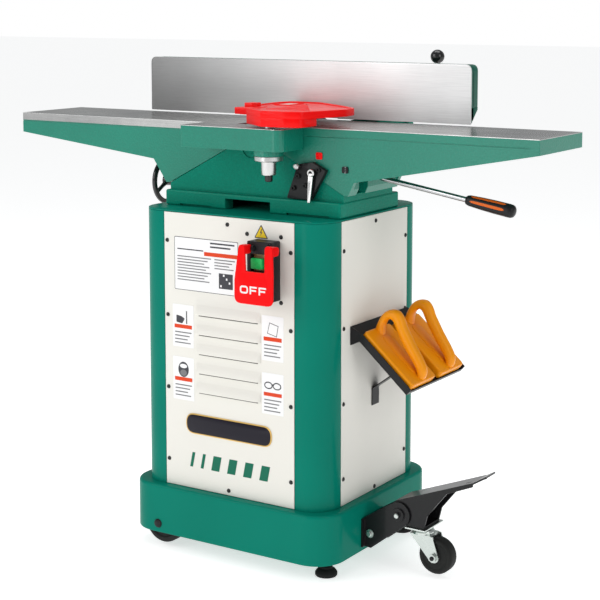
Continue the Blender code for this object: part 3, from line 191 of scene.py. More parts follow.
def slab(outline, span, across, edge=0.0008, steps=2):
    """Prism over a flat outline, thick along the axis named across. Its rims are quarter rounds: the
    outline is inset by edge * (1 - cos t) at a depth of edge * (1 - sin t)."""
    outline = np.asarray(outline, float)
    outline = outline[np.linalg.norm(outline - np.roll(outline, 1, axis=0), axis=1) > 1e-7]
    t = np.linspace(math.pi / 2, 0, steps + 1)
    by, depth = edge * (1 - np.cos(t)), edge * (1 - np.sin(t))
    by = np.concatenate([by, by[::-1]])
    level = np.concatenate([span[0] + depth, span[1] - depth[::-1]])
    rings = np.stack([np.column_stack([inset(outline, b), np.full(len(outline), d)])
                      for b, d in zip(by, level)])
    return rings_to_skin(rings[..., list(ORDER[across])])


def oblong(a, b, radius=0.0, steps=5):
    """Rectangle between the pairs a and b with round corners."""
    corners = [(a[0], b[0]), (a[1], b[0]), (a[1], b[1]), (a[0], b[1])]
    return fillet(corners, radius, steps) if radius else np.array(corners, float)


def block(x, y, z, edge=0.0008, radius=0.0):
    """Box with eased rims."""
    return slab(oblong(x, y, radius), z, "z", edge)


AXES = {"x": ((0, 1, 0), (0, 0, 1), (1, 0, 0)), "y": ((0, 0, 1), (1, 0, 0), (0, 1, 0)),
        "z": ((1, 0, 0), (0, 1, 0), (0, 0, 1))}


def turned(profile, centre, axis, sides=40, looped=False):
    """Surface of revolution: a profile of (radius, height) points carried round an axis."""
    profile = np.asarray(profile, float)
    u, v, w = (np.array(a, float) for a in AXES[axis])
    t = np.linspace(0, 2 * math.pi, sides, endpoint=False)
    spoke = np.cos(t)[:, None] * u + np.sin(t)[:, None] * v
    rings = profile[:, 0, None, None] * spoke + profile[:, 1, None, None] * w + np.asarray(centre, float)
    return rings_to_skin(rings, looped)


def pipe(path, radius, side, sides=16):
    """Round bar along a path that lies in a plane; side is the plane's normal. radius may change
    from point to point, and 0 closes an end to a point."""
    path = np.asarray(path, float)
    heading = np.gradient(path, axis=0)
    heading /= np.linalg.norm(heading, axis=1)[:, None]
    side = np.asarray(side, float) / np.linalg.norm(side)
    up = np.cross(heading, side)
    t = np.linspace(0, 2 * math.pi, sides, endpoint=False)
    radius = np.broadcast_to(np.asarray(radius, float), len(path))[:, None, None]
    around = np.cos(t)[:, None] * side + np.sin(t)[:, None] * up[:, None]
    return rings_to_skin(path[:, None] + radius * around)


def node_group(name, inputs, outputs):
    """Empty shader group with named sockets: inputs and outputs map a name to a kind and a start value."""
    tree = bpy.data.node_groups.new(name, "ShaderNodeTree")
    for label, (kind, value) in inputs.items():
        tree.interface.new_socket(label, in_out="INPUT",
                                  socket_type="NodeSocket" + kind).default_value = value
    for label, kind in outputs.items():
        tree.interface.new_socket(label, in_out="OUTPUT", socket_type="NodeSocket" + kind)
    return tree, tree.nodes.new("NodeGroupInput"), tree.nodes.new("NodeGroupOutput")


def wire(tree, source, out, target, into):
    """Link an output of one node to an input of another; each socket by name or place."""
    tree.links.new(source.outputs[out], target.inputs[into])


def fresh(tree, *kinds):
    """New shader nodes, one of each kind named."""
    return [tree.nodes.new("ShaderNode" + kind) for kind in kinds]


def spots(tree, scale, detail):
    """Noise on Object coordinates; scale is in features per metre."""
    place, noise = fresh(tree, "TexCoord", "TexNoise")
    noise.inputs["Scale"].default_value = scale
    noise.inputs["Detail"].default_value = detail
    wire(tree, place, "Object", noise, "Vector")
    return noise


def spread(tree, source, out, low, high, to_low=0.0, to_high=1.0):
    """Map Range node that takes low..high to to_low..to_high."""
    node = tree.nodes.new("ShaderNodeMapRange")
    for label, value in (("From Min", low), ("From Max", high), ("To Min", to_low), ("To Max", to_high)):
        node.inputs[label].default_value = value
    wire(tree, source, out, node, "Value")
    return node


def maths(tree, operation, *feeds):
    """Math node; each feed is a number, or a node and the name of its output."""
    node = tree.nodes.new("ShaderNodeMath")
    node.operation = operation
    for i, feed in enumerate(feeds):
        if isinstance(feed, tuple):
            wire(tree, *feed, node, i)
        else:
            node.inputs[i].default_value = feed
    return node


def scaled(tree, colour, by):
    """A colour times a value; each is a node and the name of its output."""
    node = tree.nodes.new("ShaderNodeVectorMath")
    node.operation = "SCALE"
    wire(tree, *colour, node, 0)
    wire(tree, *by, node, "Scale")
    return node


MIX_SOCKETS = {"RGBA": (6, 7, 2), "FLOAT": (2, 3, 0)}     # two inputs and the output of each kind


def mixed(tree, kind, factor, low, high):
    """Mix node of a kind, RGBA or FLOAT: low where the factor is 0 and high where it is 1."""
    node = tree.nodes.new("ShaderNodeMix")
    node.data_type = kind
    first, second, _ = MIX_SOCKETS[kind]
    wire(tree, *factor, node, 0)
    for socket, feed in ((first, low), (second, high)):
        if isinstance(feed, tuple):
            wire(tree, *feed, node, socket)
        else:
            node.inputs[socket].default_value = feed
    return node, MIX_SOCKETS[kind][2]


def make_enamel_group():
    """Brushed or sprayed enamel: slow tone drift, a fine orange peel and, where Hammer is up, the
    dimples of hammered paint, with a painted glint that makes the colour lighter on the raised ridges
    between the dimples. Gives the colour and the height for a bump."""
    tree, given, put = node_group(
        "enamel_film", {"Colour": ("Color", (0.5, 0.5, 0.5, 1)), "Drift": ("Float", 0.08),
                        "Hammer": ("Float", 0.0), "Cell": ("Float", 260.0)},
        {"Colour": "Color", "Height": "Float"})
    drift = spread(tree, spots(tree, 5.0, 4.0), "Fac", 0.3, 0.7, -1.0, 1.0)
    amount = maths(tree, "MULTIPLY_ADD", (drift, "Result"), (given, "Drift"), 1.0)
    place, cell = fresh(tree, "TexCoord", "TexVoronoi")
    cell.feature = "SMOOTH_F1"
    wire(tree, place, "Object", cell, "Vector")
    wire(tree, given, "Cell", cell, "Scale")
    dimple = maths(tree, "MULTIPLY", (cell, "Distance"), (given, "Hammer"))
    height = maths(tree, "MULTIPLY_ADD", (spots(tree, 420.0, 2.0), "Fac"), 0.12, (dimple, "Value"))
    # painted glint: the colour is lightened where the dimple relief stands high, on the ridges between dimples
    dimple_painted_glint = spread(tree, dimple, "Value", 0.0, 0.8, 0.92, 1.16)
    both = maths(tree, "MULTIPLY", (amount, "Value"), (dimple_painted_glint, "Result"))
    wire(tree, scaled(tree, (given, "Colour"), (both, "Value")), "Vector", put, "Colour")
    wire(tree, height, "Value", put, "Height")
    return tree


ENAMEL = make_enamel_group()


def start_finish(name, roughness, metallic=0.0, coat=0.0, coat_roughness=0.1, specular=0.5):
    """New material with its constants set on the shader: material, node tree and shader."""
    material = bpy.data.materials.new(name)
    material.use_nodes = True
    shader = material.node_tree.nodes["Principled BSDF"]
    for label, value in (("Roughness", roughness), ("Metallic", metallic), ("Coat Weight", coat),
                         ("Coat Roughness", coat_roughness), ("Specular IOR Level", specular)):
        shader.inputs[label].default_value = value
    return material, material.node_tree, shader


def put_group(tree, group, **values):
    """A shader group in a tree, with start values for its inputs."""
    node = tree.nodes.new("ShaderNodeGroup")
    node.node_tree = group
    for label, value in values.items():
        node.inputs[label].default_value = value
    return node


def bump(tree, shader, source, out, strength, distance):
    """Bump from a height output into the shader's normal."""
    node = tree.nodes.new("ShaderNodeBump")
    node.inputs["Strength"].default_value = strength
    node.inputs["Distance"].default_value = distance
    wire(tree, source, out, node, "Height")
    wire(tree, node, "Normal", shader, "Normal")


def enamel(name, colour, roughness=0.35, hammer=0.0, cell=260.0, drift=0.06, strength=0.25, coat=0.08,
           specular=0.16):
    """Paint: film colour and relief from the enamel group, with a clear gloss over it."""
    material, tree, shader = start_finish(name, roughness, coat=coat, coat_roughness=0.08,
                                          specular=specular)
    film = put_group(tree, ENAMEL, Colour=(*colour, 1), Drift=drift, Hammer=hammer, Cell=cell)
    wire(tree, film, "Colour", shader, "Base Color")
    bump(tree, shader, film, "Height", strength, 0.0006)
    return material


SHEET_GREEN = (0.0015, 0.2050, 0.1450)
CAST_GREEN = (0.0018, 0.1950, 0.1300)
gloss_green = enamel("gloss_green_enamel", SHEET_GREEN, roughness=0.26, drift=0.05, strength=0.05,
                     coat=0.04, specular=0.04)

plinth_lo, plinth_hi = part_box("plinth")
PLINTH_CORNER = 0.058


def round_rect(lo, hi, corner, off, steps=14):
    """Rectangle with round corners, moved outwards by off: points along all four arcs."""
    t = np.linspace(0, math.pi / 2, steps)
    r = corner + off
    ends = [(hi[0] - corner, lo[1] + corner, -math.pi / 2), (hi[0] - corner, hi[1] - corner, 0.0),
            (lo[0] + corner, hi[1] - corner, math.pi / 2), (lo[0] + corner, lo[1] + corner, math.pi)]
    return np.concatenate([np.column_stack([x + r * np.cos(t + a), y + r * np.sin(t + a)]) for x, y,
                           a in ends])


def ring_wall(lo, hi, corner, profile, steps=14):
    """A profile of (outward offset, height) points carried round a rectangle with round corners."""
    return np.stack([np.column_stack([round_rect(lo, hi, corner, off, steps), np.full(4 * steps, z)])
                     for off, z in profile])


rim, WALL, DECK_IN = 0.006, 0.0045, 0.028     # rolled edge, folded sheet's depth, deck's margin
turn_in = np.linspace(0, math.pi / 2, 6)
plinth_profile = ([(-0.0035, plinth_hi[2] - WALL), (-0.0035, plinth_lo[2] + 0.002),
                   (-0.0025, plinth_lo[2]), (-0.0008, plinth_lo[2]), (0.0, plinth_lo[2] + 0.0012)]
                  + [(rim * (math.cos(t) - 1), plinth_hi[2] - rim + rim * math.sin(t)) for t in turn_in]
                  + [(-0.030, plinth_hi[2]), (-0.030, plinth_hi[2] - WALL)])
skirt = ring_wall(plinth_lo, plinth_hi, PLINTH_CORNER, plinth_profile)
plinth_parts = [rings_to_skin(skirt, looped=True)]
deck_y = (plinth_lo[1] + DECK_IN, plinth_hi[1] - DECK_IN)
plinth_parts.append(block((plinth_lo[0] + DECK_IN, plinth_hi[0] - DECK_IN), deck_y,
                          (plinth_hi[2] - 0.0042, plinth_hi[2] - 0.0002), 0.0005, 0.03))
piece("plinth_skirt", plinth_parts, gloss_green, "body", ("plinth",))

# ---- levelling feet and transport wheels: rubber-footed screws under the corners, and two solid
# wheels on shoulder bolts inside the plinth's left end, just clear of the floor.


def moulded(name, colour, roughness=0.5, grain=900.0, strength=0.15, drift=0.10, specular=0.20):
    """Plastic or rubber: a fine moulded grain, with a faint painted glint on its ridges, and a slight unevenness
    of tone.
    """
    material, tree, shader = start_finish(name, roughness, specular=specular)
    film = put_group(tree, ENAMEL, Colour=(*colour, 1), Drift=drift, Hammer=0.25, Cell=grain)
    wire(tree, film, "Colour", shader, "Base Color")
    bump(tree, shader, film, "Height", strength, 0.0003)
    return material


foot_rubber = moulded("foot_rubber", (0.012, 0.012, 0.012), 0.7)
tyre_rubber = moulded("tyre_rubber", (0.014, 0.015, 0.014), 0.62, 700.0, 0.25)
black_enamel = enamel("black_enamel", (0.010, 0.010, 0.011), 0.38, 0.15, 500.0, 0.10, 0.2, coat=0.15)


def make_metal_group():
    """Metal with fine lines and a slow stain: gives tone, roughness and line height. Grain runs along
    the axis whose Stretch is small."""
    tree, given, put = node_group(
        "metal_grain", {"Bright": ("Color", (0.6, 0.6, 0.6, 1)), "Dull": ("Color", (0.4, 0.4, 0.4, 1)),
                        "Stretch": ("Vector", (0.03, 1.0, 1.0)), "Polish": ("Float", 0.3)},
        {"Colour": "Color", "Roughness": "Float", "Height": "Float"})
    place, mapping, lines = fresh(tree, "TexCoord", "Mapping", "TexNoise")
    lines.inputs["Scale"].default_value = 900.0
    lines.inputs["Detail"].default_value = 2.0
    wire(tree, place, "Object", mapping, "Vector")
    wire(tree, given, "Stretch", mapping, "Scale")
    wire(tree, mapping, "Vector", lines, "Vector")
    stain = spread(tree, spots(tree, 7.0, 5.0), "Fac", 0.35, 0.65)
    tint = mixed(tree, "RGBA", (stain, "Result"), (given, "Dull"), (given, "Bright"))
    fine = spread(tree, lines, "Fac", 0.3, 0.7, 0.94, 1.06)
    rough = maths(tree, "MULTIPLY_ADD", (lines, "Fac"), 0.12, (given, "Polish"))
    low = maths(tree, "MULTIPLY", (lines, "Fac"), 0.05)
    wire(tree, scaled(tree, tint, (fine, "Result")), "Vector", put, "Colour")
    wire(tree, rough, "Value", put, "Roughness")
    wire(tree, low, "Value", put, "Height")
    return tree


METAL = make_metal_group()


def metal(name, bright, dull=None, polish=0.25, stretch=(1, 1, 1), strength=0.08):
    """Bare or plated metal from the metal group."""
    material, tree, shader = start_finish(name, 0.3, metallic=1.0)
    dull = dull or tuple(0.8 * c for c in bright)
    grain = put_group(tree, METAL, Bright=(*bright, 1), Dull=(*dull, 1), Polish=polish, Stretch=stretch)
    wire(tree, grain, "Colour", shader, "Base Color")
    wire(tree, grain, "Roughness", shader, "Roughness")
    bump(tree, shader, grain, "Height", strength, 0.0002)
    return material


bright_steel = metal("bright_steel", (0.78, 0.78, 0.77), polish=0.14)
zinc = metal("zinc_plating", (0.62, 0.66, 0.63), (0.50, 0.54, 0.52), 0.22)


def foot_skin(lo, hi):
    """Screw stem and spreading rubber pad, turned about the foot's middle."""
    x, y = (lo[0] + hi[0]) / 2, (lo[1] + hi[1]) / 2
    r = (hi[0] - lo[0]) / 2
    profile = [(0, hi[2] - lo[2]), (0.0045, hi[2] - lo[2]), (0.0050, 0.020), (0.0120, 0.0185),
               (0.0125, 0.0145),
               (0.0165, 0.0125), (r - 0.0012, 0.0085), (r, 0.0065), (r, 0.0020), (r - 0.0015, 0.0), (0, 0.0)]
    return turned(profile, (x, y, lo[2]), "z", 36)


for i in range(1, 5):
    name = "levelling_foot_%d" % i
    piece(name + "_pad", [foot_skin(*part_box(name))], foot_rubber, "foot_%d" % i, (name,))


def wheel_skin(lo, hi, hub_r, dish):
    """Solid wheel about the Y axis: crowned tread, dished sides and a raised hub."""
    r, half = (hi[2] - lo[2]) / 2, (hi[1] - lo[1]) / 2
    centre = [(a + b) / 2 for a, b in zip(lo, hi)]
    t = np.linspace(0, math.pi / 2, 6)
    crown = min(0.0065, half * 0.5)
    side = [(0, half), (hub_r, half), (hub_r + 0.002, half - dish), (r * 0.70, half - dish),
            (r * 0.76, half - 0.0005)]
    side += [(r - crown + crown * math.sin(a), half - crown + crown * math.cos(a)) for a in t]
    return turned(side + [(a, -b) for a, b in side[::-1]], centre, "y", 48)


for end in ("front", "rear"):
    name = "transport_wheel_" + end
    piece(name + "_tyre", [wheel_skin(*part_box(name), 0.010, 0.0025)], tyre_rubber, "wheel_" + end,
          (name,))
    lo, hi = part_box("transport_axle_" + end)
    outward = -1 if end == "front" else 1
    middle = ((lo[0] + hi[0]) / 2, 0.0, (lo[2] + hi[2]) / 2)
    tip, root = (lo[1], hi[1]) if outward < 0 else (hi[1], lo[1])
    dome = [(0, 0), (0.0045, 0), (0.0075, 0.0012), (0.0088, 0.0032), (0.0088, 0.0038), (0.0050, 0.0040),
            (0.0050, abs(root - tip)), (0, abs(root - tip))]
    bolt = turned([(r, tip - outward * h) for r, h in dome], middle, "y", 28)
    piece(name + "_bolt", [bolt], black_enamel, "body", ("transport_axle_" + end,))

# ---- cabinet: four folded corner posts in gloss green, with satin cream panels screwed between
# them. The front panel has five pressed louvres; each face carries black pan-head screws.
cab_lo, cab_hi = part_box("cabinet_shell")
front_lo, front_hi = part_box("front_panel")
back_lo, back_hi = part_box("back_panel")
right_lo, right_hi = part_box("right_panel")
left_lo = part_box("left_panel")[0]
CABINET_CORNER = 0.052
cream = enamel("cream_enamel", (0.84, 0.82, 0.76), 0.42, drift=0.015, strength=0.05, coat=0.05)

FLANGE, POST_THICK = 0.017, 0.0020   # turned-in edge and sheet of the corner posts


def corner_post(sx, sy):
    """Folded post: from the edge of one panel round the corner to the edge of the next, with both
    edges turned in, as a closed strip 2 mm thick."""
    cx = cab_hi[0] - CABINET_CORNER if sx > 0 else cab_lo[0] + CABINET_CORNER
    cy = cab_hi[1] - CABINET_CORNER if sy > 0 else cab_lo[1] + CABINET_CORNER
    x_end = front_hi[0] + 0.0006 if sx > 0 else front_lo[0] - 0.0006
    y_end = right_hi[1] + 0.0006 if sy > 0 else right_lo[1] - 0.0006
    t = np.linspace(0, math.pi / 2, 16)
    face_y, face_x = cy + sy * CABINET_CORNER, cx + sx * CABINET_CORNER
    outer = np.concatenate([
        [(x_end - sx * FLANGE, face_y - sy * 0.0035), (x_end - sx * 0.0002, face_y - sy * 0.0030),
         (x_end, face_y - sy * 0.0012), (x_end + sx * 0.0012, face_y)],
        np.column_stack([cx + sx * CABINET_CORNER * np.sin(t), cy + sy * CABINET_CORNER * np.cos(t)]),
        [(face_x, y_end + sy * 0.0012), (face_x - sx * 0.0012, y_end),
         (face_x - sx * 0.0030, y_end - sy * 0.0002), (face_x - sx * 0.0035, y_end - sy * FLANGE)]])
    middle = np.array([cx, cy]) - [sx * 0.02, sy * 0.02]
    inner = outer - POST_THICK * np.sign(outer - middle) * np.array([1, 1])
    strip = np.concatenate([outer, inner[::-1]])
    return slab(strip, (cab_lo[2], cab_hi[2]), "z", 0.0)


posts = [corner_post(sx, sy) for sx in (-1, 1) for sy in (-1, 1)]
piece("cabinet_posts", posts, gloss_green, "body", ("cabinet_shell",))

# louvres: each strip swells out from the panel towards its lower lip and drops back at once, and
# its ends are round
LOUVRE_X = (front_lo[0] + 0.0735, front_hi[0] - 0.0735)
LOUVRE_LIPS = 0.4720 - 0.0375 * np.arange(5)
LOUVRE_TALL, LOUVRE_DEEP, LIP_DROP = 0.0200, 0.0068, 0.0012


def louvre_rise(x, z):
    """How far the front panel stands out at x, z: a quarter sine down each louvre, times a half
    ellipse at its two ends."""
    half, middle = (LOUVRE_X[1] - LOUVRE_X[0]) / 2, sum(LOUVRE_X) / 2
    end = np.clip((np.abs(x - middle) - (half - 0.012)) / 0.012, 0, 1)
    rise = np.zeros_like(x)
    for lip in LOUVRE_LIPS:
        s = (lip + LOUVRE_TALL - z) / LOUVRE_TALL
        swell = np.sin(np.clip(s, 0, 1) * math.pi / 2) ** 1.1 * (s <= 1.0001)
        drop = np.clip(1 - (lip - z) / LIP_DROP, 0, 1) * (s > 1.0001)
        rise = rise + (swell + drop) * np.sqrt(1 - end ** 2)
    return LOUVRE_DEEP * rise


steps_down = np.concatenate([[lip + LOUVRE_TALL * (1 - s) for s in np.linspace(0, 1, 13)]
                             + [lip - LIP_DROP, lip - LIP_DROP - 0.0006] for lip in LOUVRE_LIPS])
panel_z = np.sort(np.concatenate([[front_lo[2], front_lo[2] + 0.0006, front_hi[2] - 0.0006, front_hi[2]],
                                  np.linspace(front_lo[2] + 0.03, 0.29, 4),
                                  np.linspace(0.51, front_hi[2] - 0.03, 4),
                                  steps_down]))[::-1]
ends = 0.012 * (1 - np.cos(np.linspace(0, math.pi / 2, 8)))
panel_x = np.concatenate([[front_lo[0], front_lo[0] + 0.0006], LOUVRE_X[0] + ends, [0.0],
                          LOUVRE_X[1] - ends[::-1],
                          [front_hi[0] - 0.0006, front_hi[0]]])
gx, gz = np.meshgrid(panel_x, panel_z, indexing="ij")
border = np.minimum(np.minimum(gx - front_lo[0], front_hi[0] - gx),
                    np.minimum(gz - front_lo[2], front_hi[2] - gz))
gy = front_lo[1] + 0.0006 * (border < 0.0003) - louvre_rise(gx, gz)
front = piece("front_panel_louvred", [sheet_skin(np.stack([gx, gy, gz], axis=-1))], cream, "body",
              ("front_panel",), open_skin=True)
thick = front.modifiers.new("thickness", "SOLIDIFY")
thick.thickness, thick.offset = 0.0012, -1.0

# a thin dark strip under each louvre's lip: painted shade, standing for the shadow in the opening beneath it
slits = [slab(oblong((LOUVRE_X[0] + 0.007, LOUVRE_X[1] - 0.007), (lip - 0.0034, lip - LIP_DROP - 0.0002)),
              (front_lo[1] - 0.0003, front_lo[1] + 0.0006), "y", 0.0) for lip in LOUVRE_LIPS]
slit_painted_shade = enamel("louvre_slit_shade", (0.10, 0.095, 0.085), 0.6)
piece("louvre_slit_painted_shade", slits, slit_painted_shade, "body")

right = slab(oblong((right_lo[1], right_hi[1]), (right_lo[2], right_hi[2]), 0.0015),
             (right_lo[0], right_hi[0]), "x", 0.0005)
back = slab(oblong((back_lo[0], back_hi[0]), (back_lo[2], back_hi[2]), 0.0015), (back_lo[1], back_hi[1]),
            "y", 0.0005)
piece("right_panel_sheet", [right], cream, "body", ("right_panel",))
piece("back_panel_sheet", [back], cream, "body", ("back_panel",))
nodes["left_panel"].material_slots[0].material = cream


def pan_screw(axis, outward, r=0.0041, h=0.0022):
    """Pan head with a cross recess' shallow dimple, turned about its own axis; its seat is at 0."""
    dome = [(0, h * 0.55), (r * 0.22, h * 0.60), (r * 0.34, h * 0.98), (r * 0.55, h), (r * 0.85, h * 0.72),
            (r, h * 0.25), (r, -0.0002), (0, -0.0002)]
    return turned([(a, outward * b) for a, b in dome], (0, 0, 0), axis, 16)


screw_black = metal("blackened_screw", (0.05, 0.05, 0.05), polish=0.30)
COLUMN_IN = 0.0073                   # panel edge to the screws
screw_rows = (0.609, 0.4645, 0.3225, 0.180)
mid_x, mid_y = (front_lo[0] + front_hi[0]) / 2, (right_lo[1] + right_hi[1]) / 2
across_front = [(x, z) for x in (front_lo[0] + COLUMN_IN, front_hi[0] - COLUMN_IN) for z in screw_rows]
across_front += [(mid_x, front_hi[2] - 0.0140), (mid_x, front_lo[2] + 0.0095)]
across_side = [(y, z) for y in (right_lo[1] + COLUMN_IN, right_hi[1] - COLUMN_IN) for z in screw_rows]
across_side += [(mid_y, right_hi[2] - 0.0120), (mid_y, right_lo[2] + 0.0060)]
screws = copies(pan_screw("y", -1), [(x, front_lo[1], z) for x, z in across_front])
screws += copies(pan_screw("y", 1), [(x, back_hi[1], z) for x, z in across_front])
screws += copies(pan_screw("x", 1), [(right_hi[0], y, z) for y, z in across_side])
screws += copies(pan_screw("x", -1), [(left_lo[0], y, z) for y, z in across_side])
piece("panel_screws", screws, screw_black, "body")

# ---- labels and plates on the front panel: printed film with plain bars and simple signs, a dark
# gilt-edged name badge left blank, and a row of slanted green strokes under it.
paper = enamel("label_film", (0.93, 0.93, 0.93), 0.35, drift=0.01, strength=0.02)
ink = enamel("label_ink", (0.06, 0.06, 0.07), 0.45, drift=0.02, strength=0.02)
grey_ink = enamel("label_grey_ink", (0.20, 0.20, 0.21), 0.45, drift=0.02, strength=0.02)
orange_ink = enamel("label_orange_ink", (0.76, 0.060, 0.012), 0.40, drift=0.02, strength=0.02)
yellow_ink = enamel("label_yellow_ink", (0.86, 0.60, 0.02), 0.40, drift=0.02, strength=0.02)
face = front_lo[1]


def decal(outline, layer=1, thin=0.00012):
    """Thin film on the front panel; a higher layer lies on a lower one."""
    front, rear = face - 0.0001 - (layer + 1) * thin, face - (layer - 1) * thin - 0.00002
    return slab(outline, (front, rear), "y", 0.0)


def bars(x, top, count, pitch, tall, layer=2, ragged=0.0):
    """Rows of thin strokes that stand for lines of print, some shorter than others."""
    spans = [(x[0], x[1] - ragged * (x[1] - x[0]) * ((7 * i) % 5) / 5) for i in range(count)]
    return [decal(oblong(s, (top - i * pitch - tall, top - i * pitch)), layer) for i, s in enumerate(spans)]


plate_x, plate_z = (-0.1310, 0.0150), (0.5170, 0.6170)
notices = [((-0.1375, -0.0880), (0.4045, 0.4870)), ((-0.1375, -0.0880), (0.3010, 0.3850)),
           ((0.0690, 0.1170), (0.4030, 0.4877)), ((0.0690, 0.1170), (0.3020, 0.3800))]
films, strokes, pale_strokes, orange_strokes = [decal(oblong(plate_x, plate_z, 0.002))], [], [], []
table_x = (plate_x[0] + 0.006, plate_x[1] - 0.006)
orange_strokes += [decal(oblong((-0.0620, plate_x[1]), (0.5860, 0.5935)), 2)]
strokes += bars((-0.048, 0.008), 0.6125, 2, 0.0070, 0.0030, ragged=0.4)
BORDER = 0.0011
strokes.append(decal(oblong((plate_x[0] - BORDER, plate_x[1] + BORDER),
                            (plate_z[0] - BORDER, plate_z[1] + BORDER), 0.0025), 0))
strokes += bars((table_x[0], -0.064), 0.5960, 1, 0.0065, 0.0022)
pale_strokes += bars((table_x[0], -0.046), 0.5820, 9, 0.0056, 0.0020, ragged=0.25)
pale_strokes += bars((-0.038, table_x[1]), 0.5820, 4, 0.0056, 0.0020, ragged=0.35)
strokes += [decal(oblong((-0.028, 0.004), (0.5270, 0.5560)), 2)]
for i in range(4):
    x, z = 0.0066 * i, 0.0068 * ((i * 3) % 4)
    films.append(decal(oblong((-0.025 + x, -0.0215 + x), (0.5300 + z, 0.5340 + z)), 3))
for x, z in notices:
    films.append(decal(oblong(x, z, 0.0015)))
    tall = z[1] - z[0]
    stripe = oblong((x[0] + 0.004, x[1] - 0.004), (z[0] + 0.44 * tall, z[0] + 0.53 * tall))
    orange_strokes.append(decal(stripe, 2))
    pale_strokes += bars((x[0] + 0.005, x[1] - 0.005), z[0] + 0.36 * tall, 4, 0.0068, 0.0022, ragged=0.3)
sign_z = [z[1] - 0.30 * (z[1] - z[0]) for _, z in notices]
sign_x = [(x[0] + x[1]) / 2 for x, _ in notices]


def disc(x, z, rx, rz, turns=20):
    """Ellipse about x, z."""
    t = np.linspace(0, 2 * math.pi, turns, endpoint=False)
    return np.column_stack([x + rx * np.cos(t), z + rz * np.sin(t)])


def at_sign(i, points):
    """An outline drawn about 0, moved to the middle of a notice's sign."""
    return np.array(points) + (sign_x[i], sign_z[i])


# hand under a blade, a breathing mask on a plain head, a book, and a pair of goggles
hand = [(-0.016, -0.010), (-0.002, -0.012), (0.004, -0.002), (-0.004, 0.002), (-0.016, 0.004)]
strokes += [decal(fillet(at_sign(0, hand), 0.002), 2),
            decal(at_sign(0, oblong((0.007, 0.0095), (-0.012, 0.013))), 2),
            decal(disc(sign_x[1], sign_z[1] + 0.001, 0.0125, 0.0150), 2)]
films.append(decal(disc(sign_x[1], sign_z[1] + 0.0075, 0.0085, 0.0042), 3))
for side in (-0.0095, 0.0095):
    strokes.append(decal(disc(sign_x[3] + side, sign_z[3], 0.0095, 0.0070), 2))
    films.append(decal(disc(sign_x[3] + side, sign_z[3], 0.0072, 0.0048), 3))
strokes.append(decal(at_sign(3, oblong((-0.003, 0.003), (0.001, 0.003))), 2))
pale_strokes += [decal(disc(sign_x[1], sign_z[1] - 0.0055, 0.0078, 0.0062), 3)]
page = np.array([(-0.012, -0.008), (0.009, -0.013), (0.013, 0.008), (-0.007, 0.013)])
strokes += [decal(at_sign(2, page), 2)]
films += [decal(at_sign(2, inset(page, 0.0012)), 3)]

triangle = np.array([(0.0525, 0.6300), (0.0835, 0.6300), (0.0680, 0.6560)])
strokes += [decal(fillet(triangle, 0.0018), 1)]
bolt_sign = np.array([(0.0690, 0.6480), (0.0655, 0.6400), (0.0680, 0.6400), (0.0662, 0.6340),
                      (0.0710, 0.6415), (0.0685, 0.6415), (0.0706, 0.6480)])
strokes += [decal(bolt_sign, 3)]
piece("label_films", films, paper, "body")
piece("label_strokes", strokes, ink, "body")
piece("label_pale_strokes", pale_strokes, grey_ink, "body")
piece("label_orange_strokes", orange_strokes, orange_ink, "body")
piece("warning_triangle", [decal(inset(triangle, 0.0018), 2)], yellow_ink, "body")

BADGE_X, BADGE_Z = (-0.1070, 0.0910), (0.2380, 0.2780)
gilt = metal("gilt_rim", (0.70, 0.46, 0.14), (0.55, 0.34, 0.10), 0.25)
badge_black = enamel("badge_enamel", (0.012, 0.010, 0.018), 0.18, drift=0.04, strength=0.02, coat=0.06)
badge = oblong(BADGE_X, BADGE_Z, (BADGE_Z[1] - BADGE_Z[0]) / 2 * 0.98, 10)
piece("badge_rim", [slab(badge, (face - 0.0016, face - 0.0001), "y", 0.0006)], gilt, "body")
piece("badge_field", [slab(inset(badge, 0.0022), (face - 0.0022, face - 0.0010), "y", 0.0004)], badge_black,
      "body")

STROKE_X, STROKE_Z, SLANT = (-0.0990, 0.0830), (0.1720, 0.2010), 0.0060
letter_green = enamel("stroke_green", (0.001, 0.150, 0.085), 0.35, drift=0.02, strength=0.02)
widths = (0.0090, 0.0090, 0.0210, 0.0210, 0.0210, 0.0210)
gaps = (STROKE_X[1] - STROKE_X[0] - sum(widths)) / (len(widths) - 1)
marks, left = [], STROKE_X[0]
for wide in widths:
    bar = np.array([(left, STROKE_Z[0]), (left + wide - SLANT * 0.4, STROKE_Z[0]),
                    (left + wide + SLANT * 0.6, STROKE_Z[1]), (left + SLANT, STROKE_Z[1])])
    marks.append(decal(bar, 1))
    left += wide + gaps
piece("name_strokes", marks, letter_green, "body")

# ---- cabinet top: a steel plate with the cabinet's round corners, held by black hexagon bolts.
top_lo, top_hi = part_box("top_plate")
top_outline = round_rect(top_lo, top_hi, CABINET_CORNER, 0.0)
piece("top_sheet", [slab(top_outline, (top_lo[2], top_hi[2]), "z", 0.0012)], gloss_green, "body",
      ("top_plate",))


def hex_bolt(r=0.0065, h=0.0055):
    """Hexagon head on a washer, standing on 0."""
    t = np.radians(np.arange(0, 360, 60))
    head = slab(np.column_stack([r * np.cos(t), r * np.sin(t)]), (0.0012, h), "z", 0.0006)
    return [turned([(0, 0.0013), (r * 1.35, 0.0013), (r * 1.35, 0.0), (0, 0.0)], (0, 0, 0), "z", 24), head]


deck_bolts = []
BOLT_IN, BOLT_Y = 0.022, (-0.090, 0.120)     # from the cabinet's ends, and from the middle
for x in (cab_lo[0] + BOLT_IN, cab_hi[0] - BOLT_IN):
    for y in BOLT_Y:
        for skin in hex_bolt():
            deck_bolts += copies(skin, [(x * 0.985, y, top_hi[2])])
piece("deck_bolts", deck_bolts, black_enamel, "body")

# ---- castings: base, fence support and carriage are grey iron in hammered green enamel; the base's
# sloping ways carry both tables. Their solids keep their shape and get eased rims.
hammered_green = enamel("hammered_green_enamel", CAST_GREEN, 0.22, 0.9, 330.0, 0.10, 0.95, coat=0.09,
                        specular=0.04)


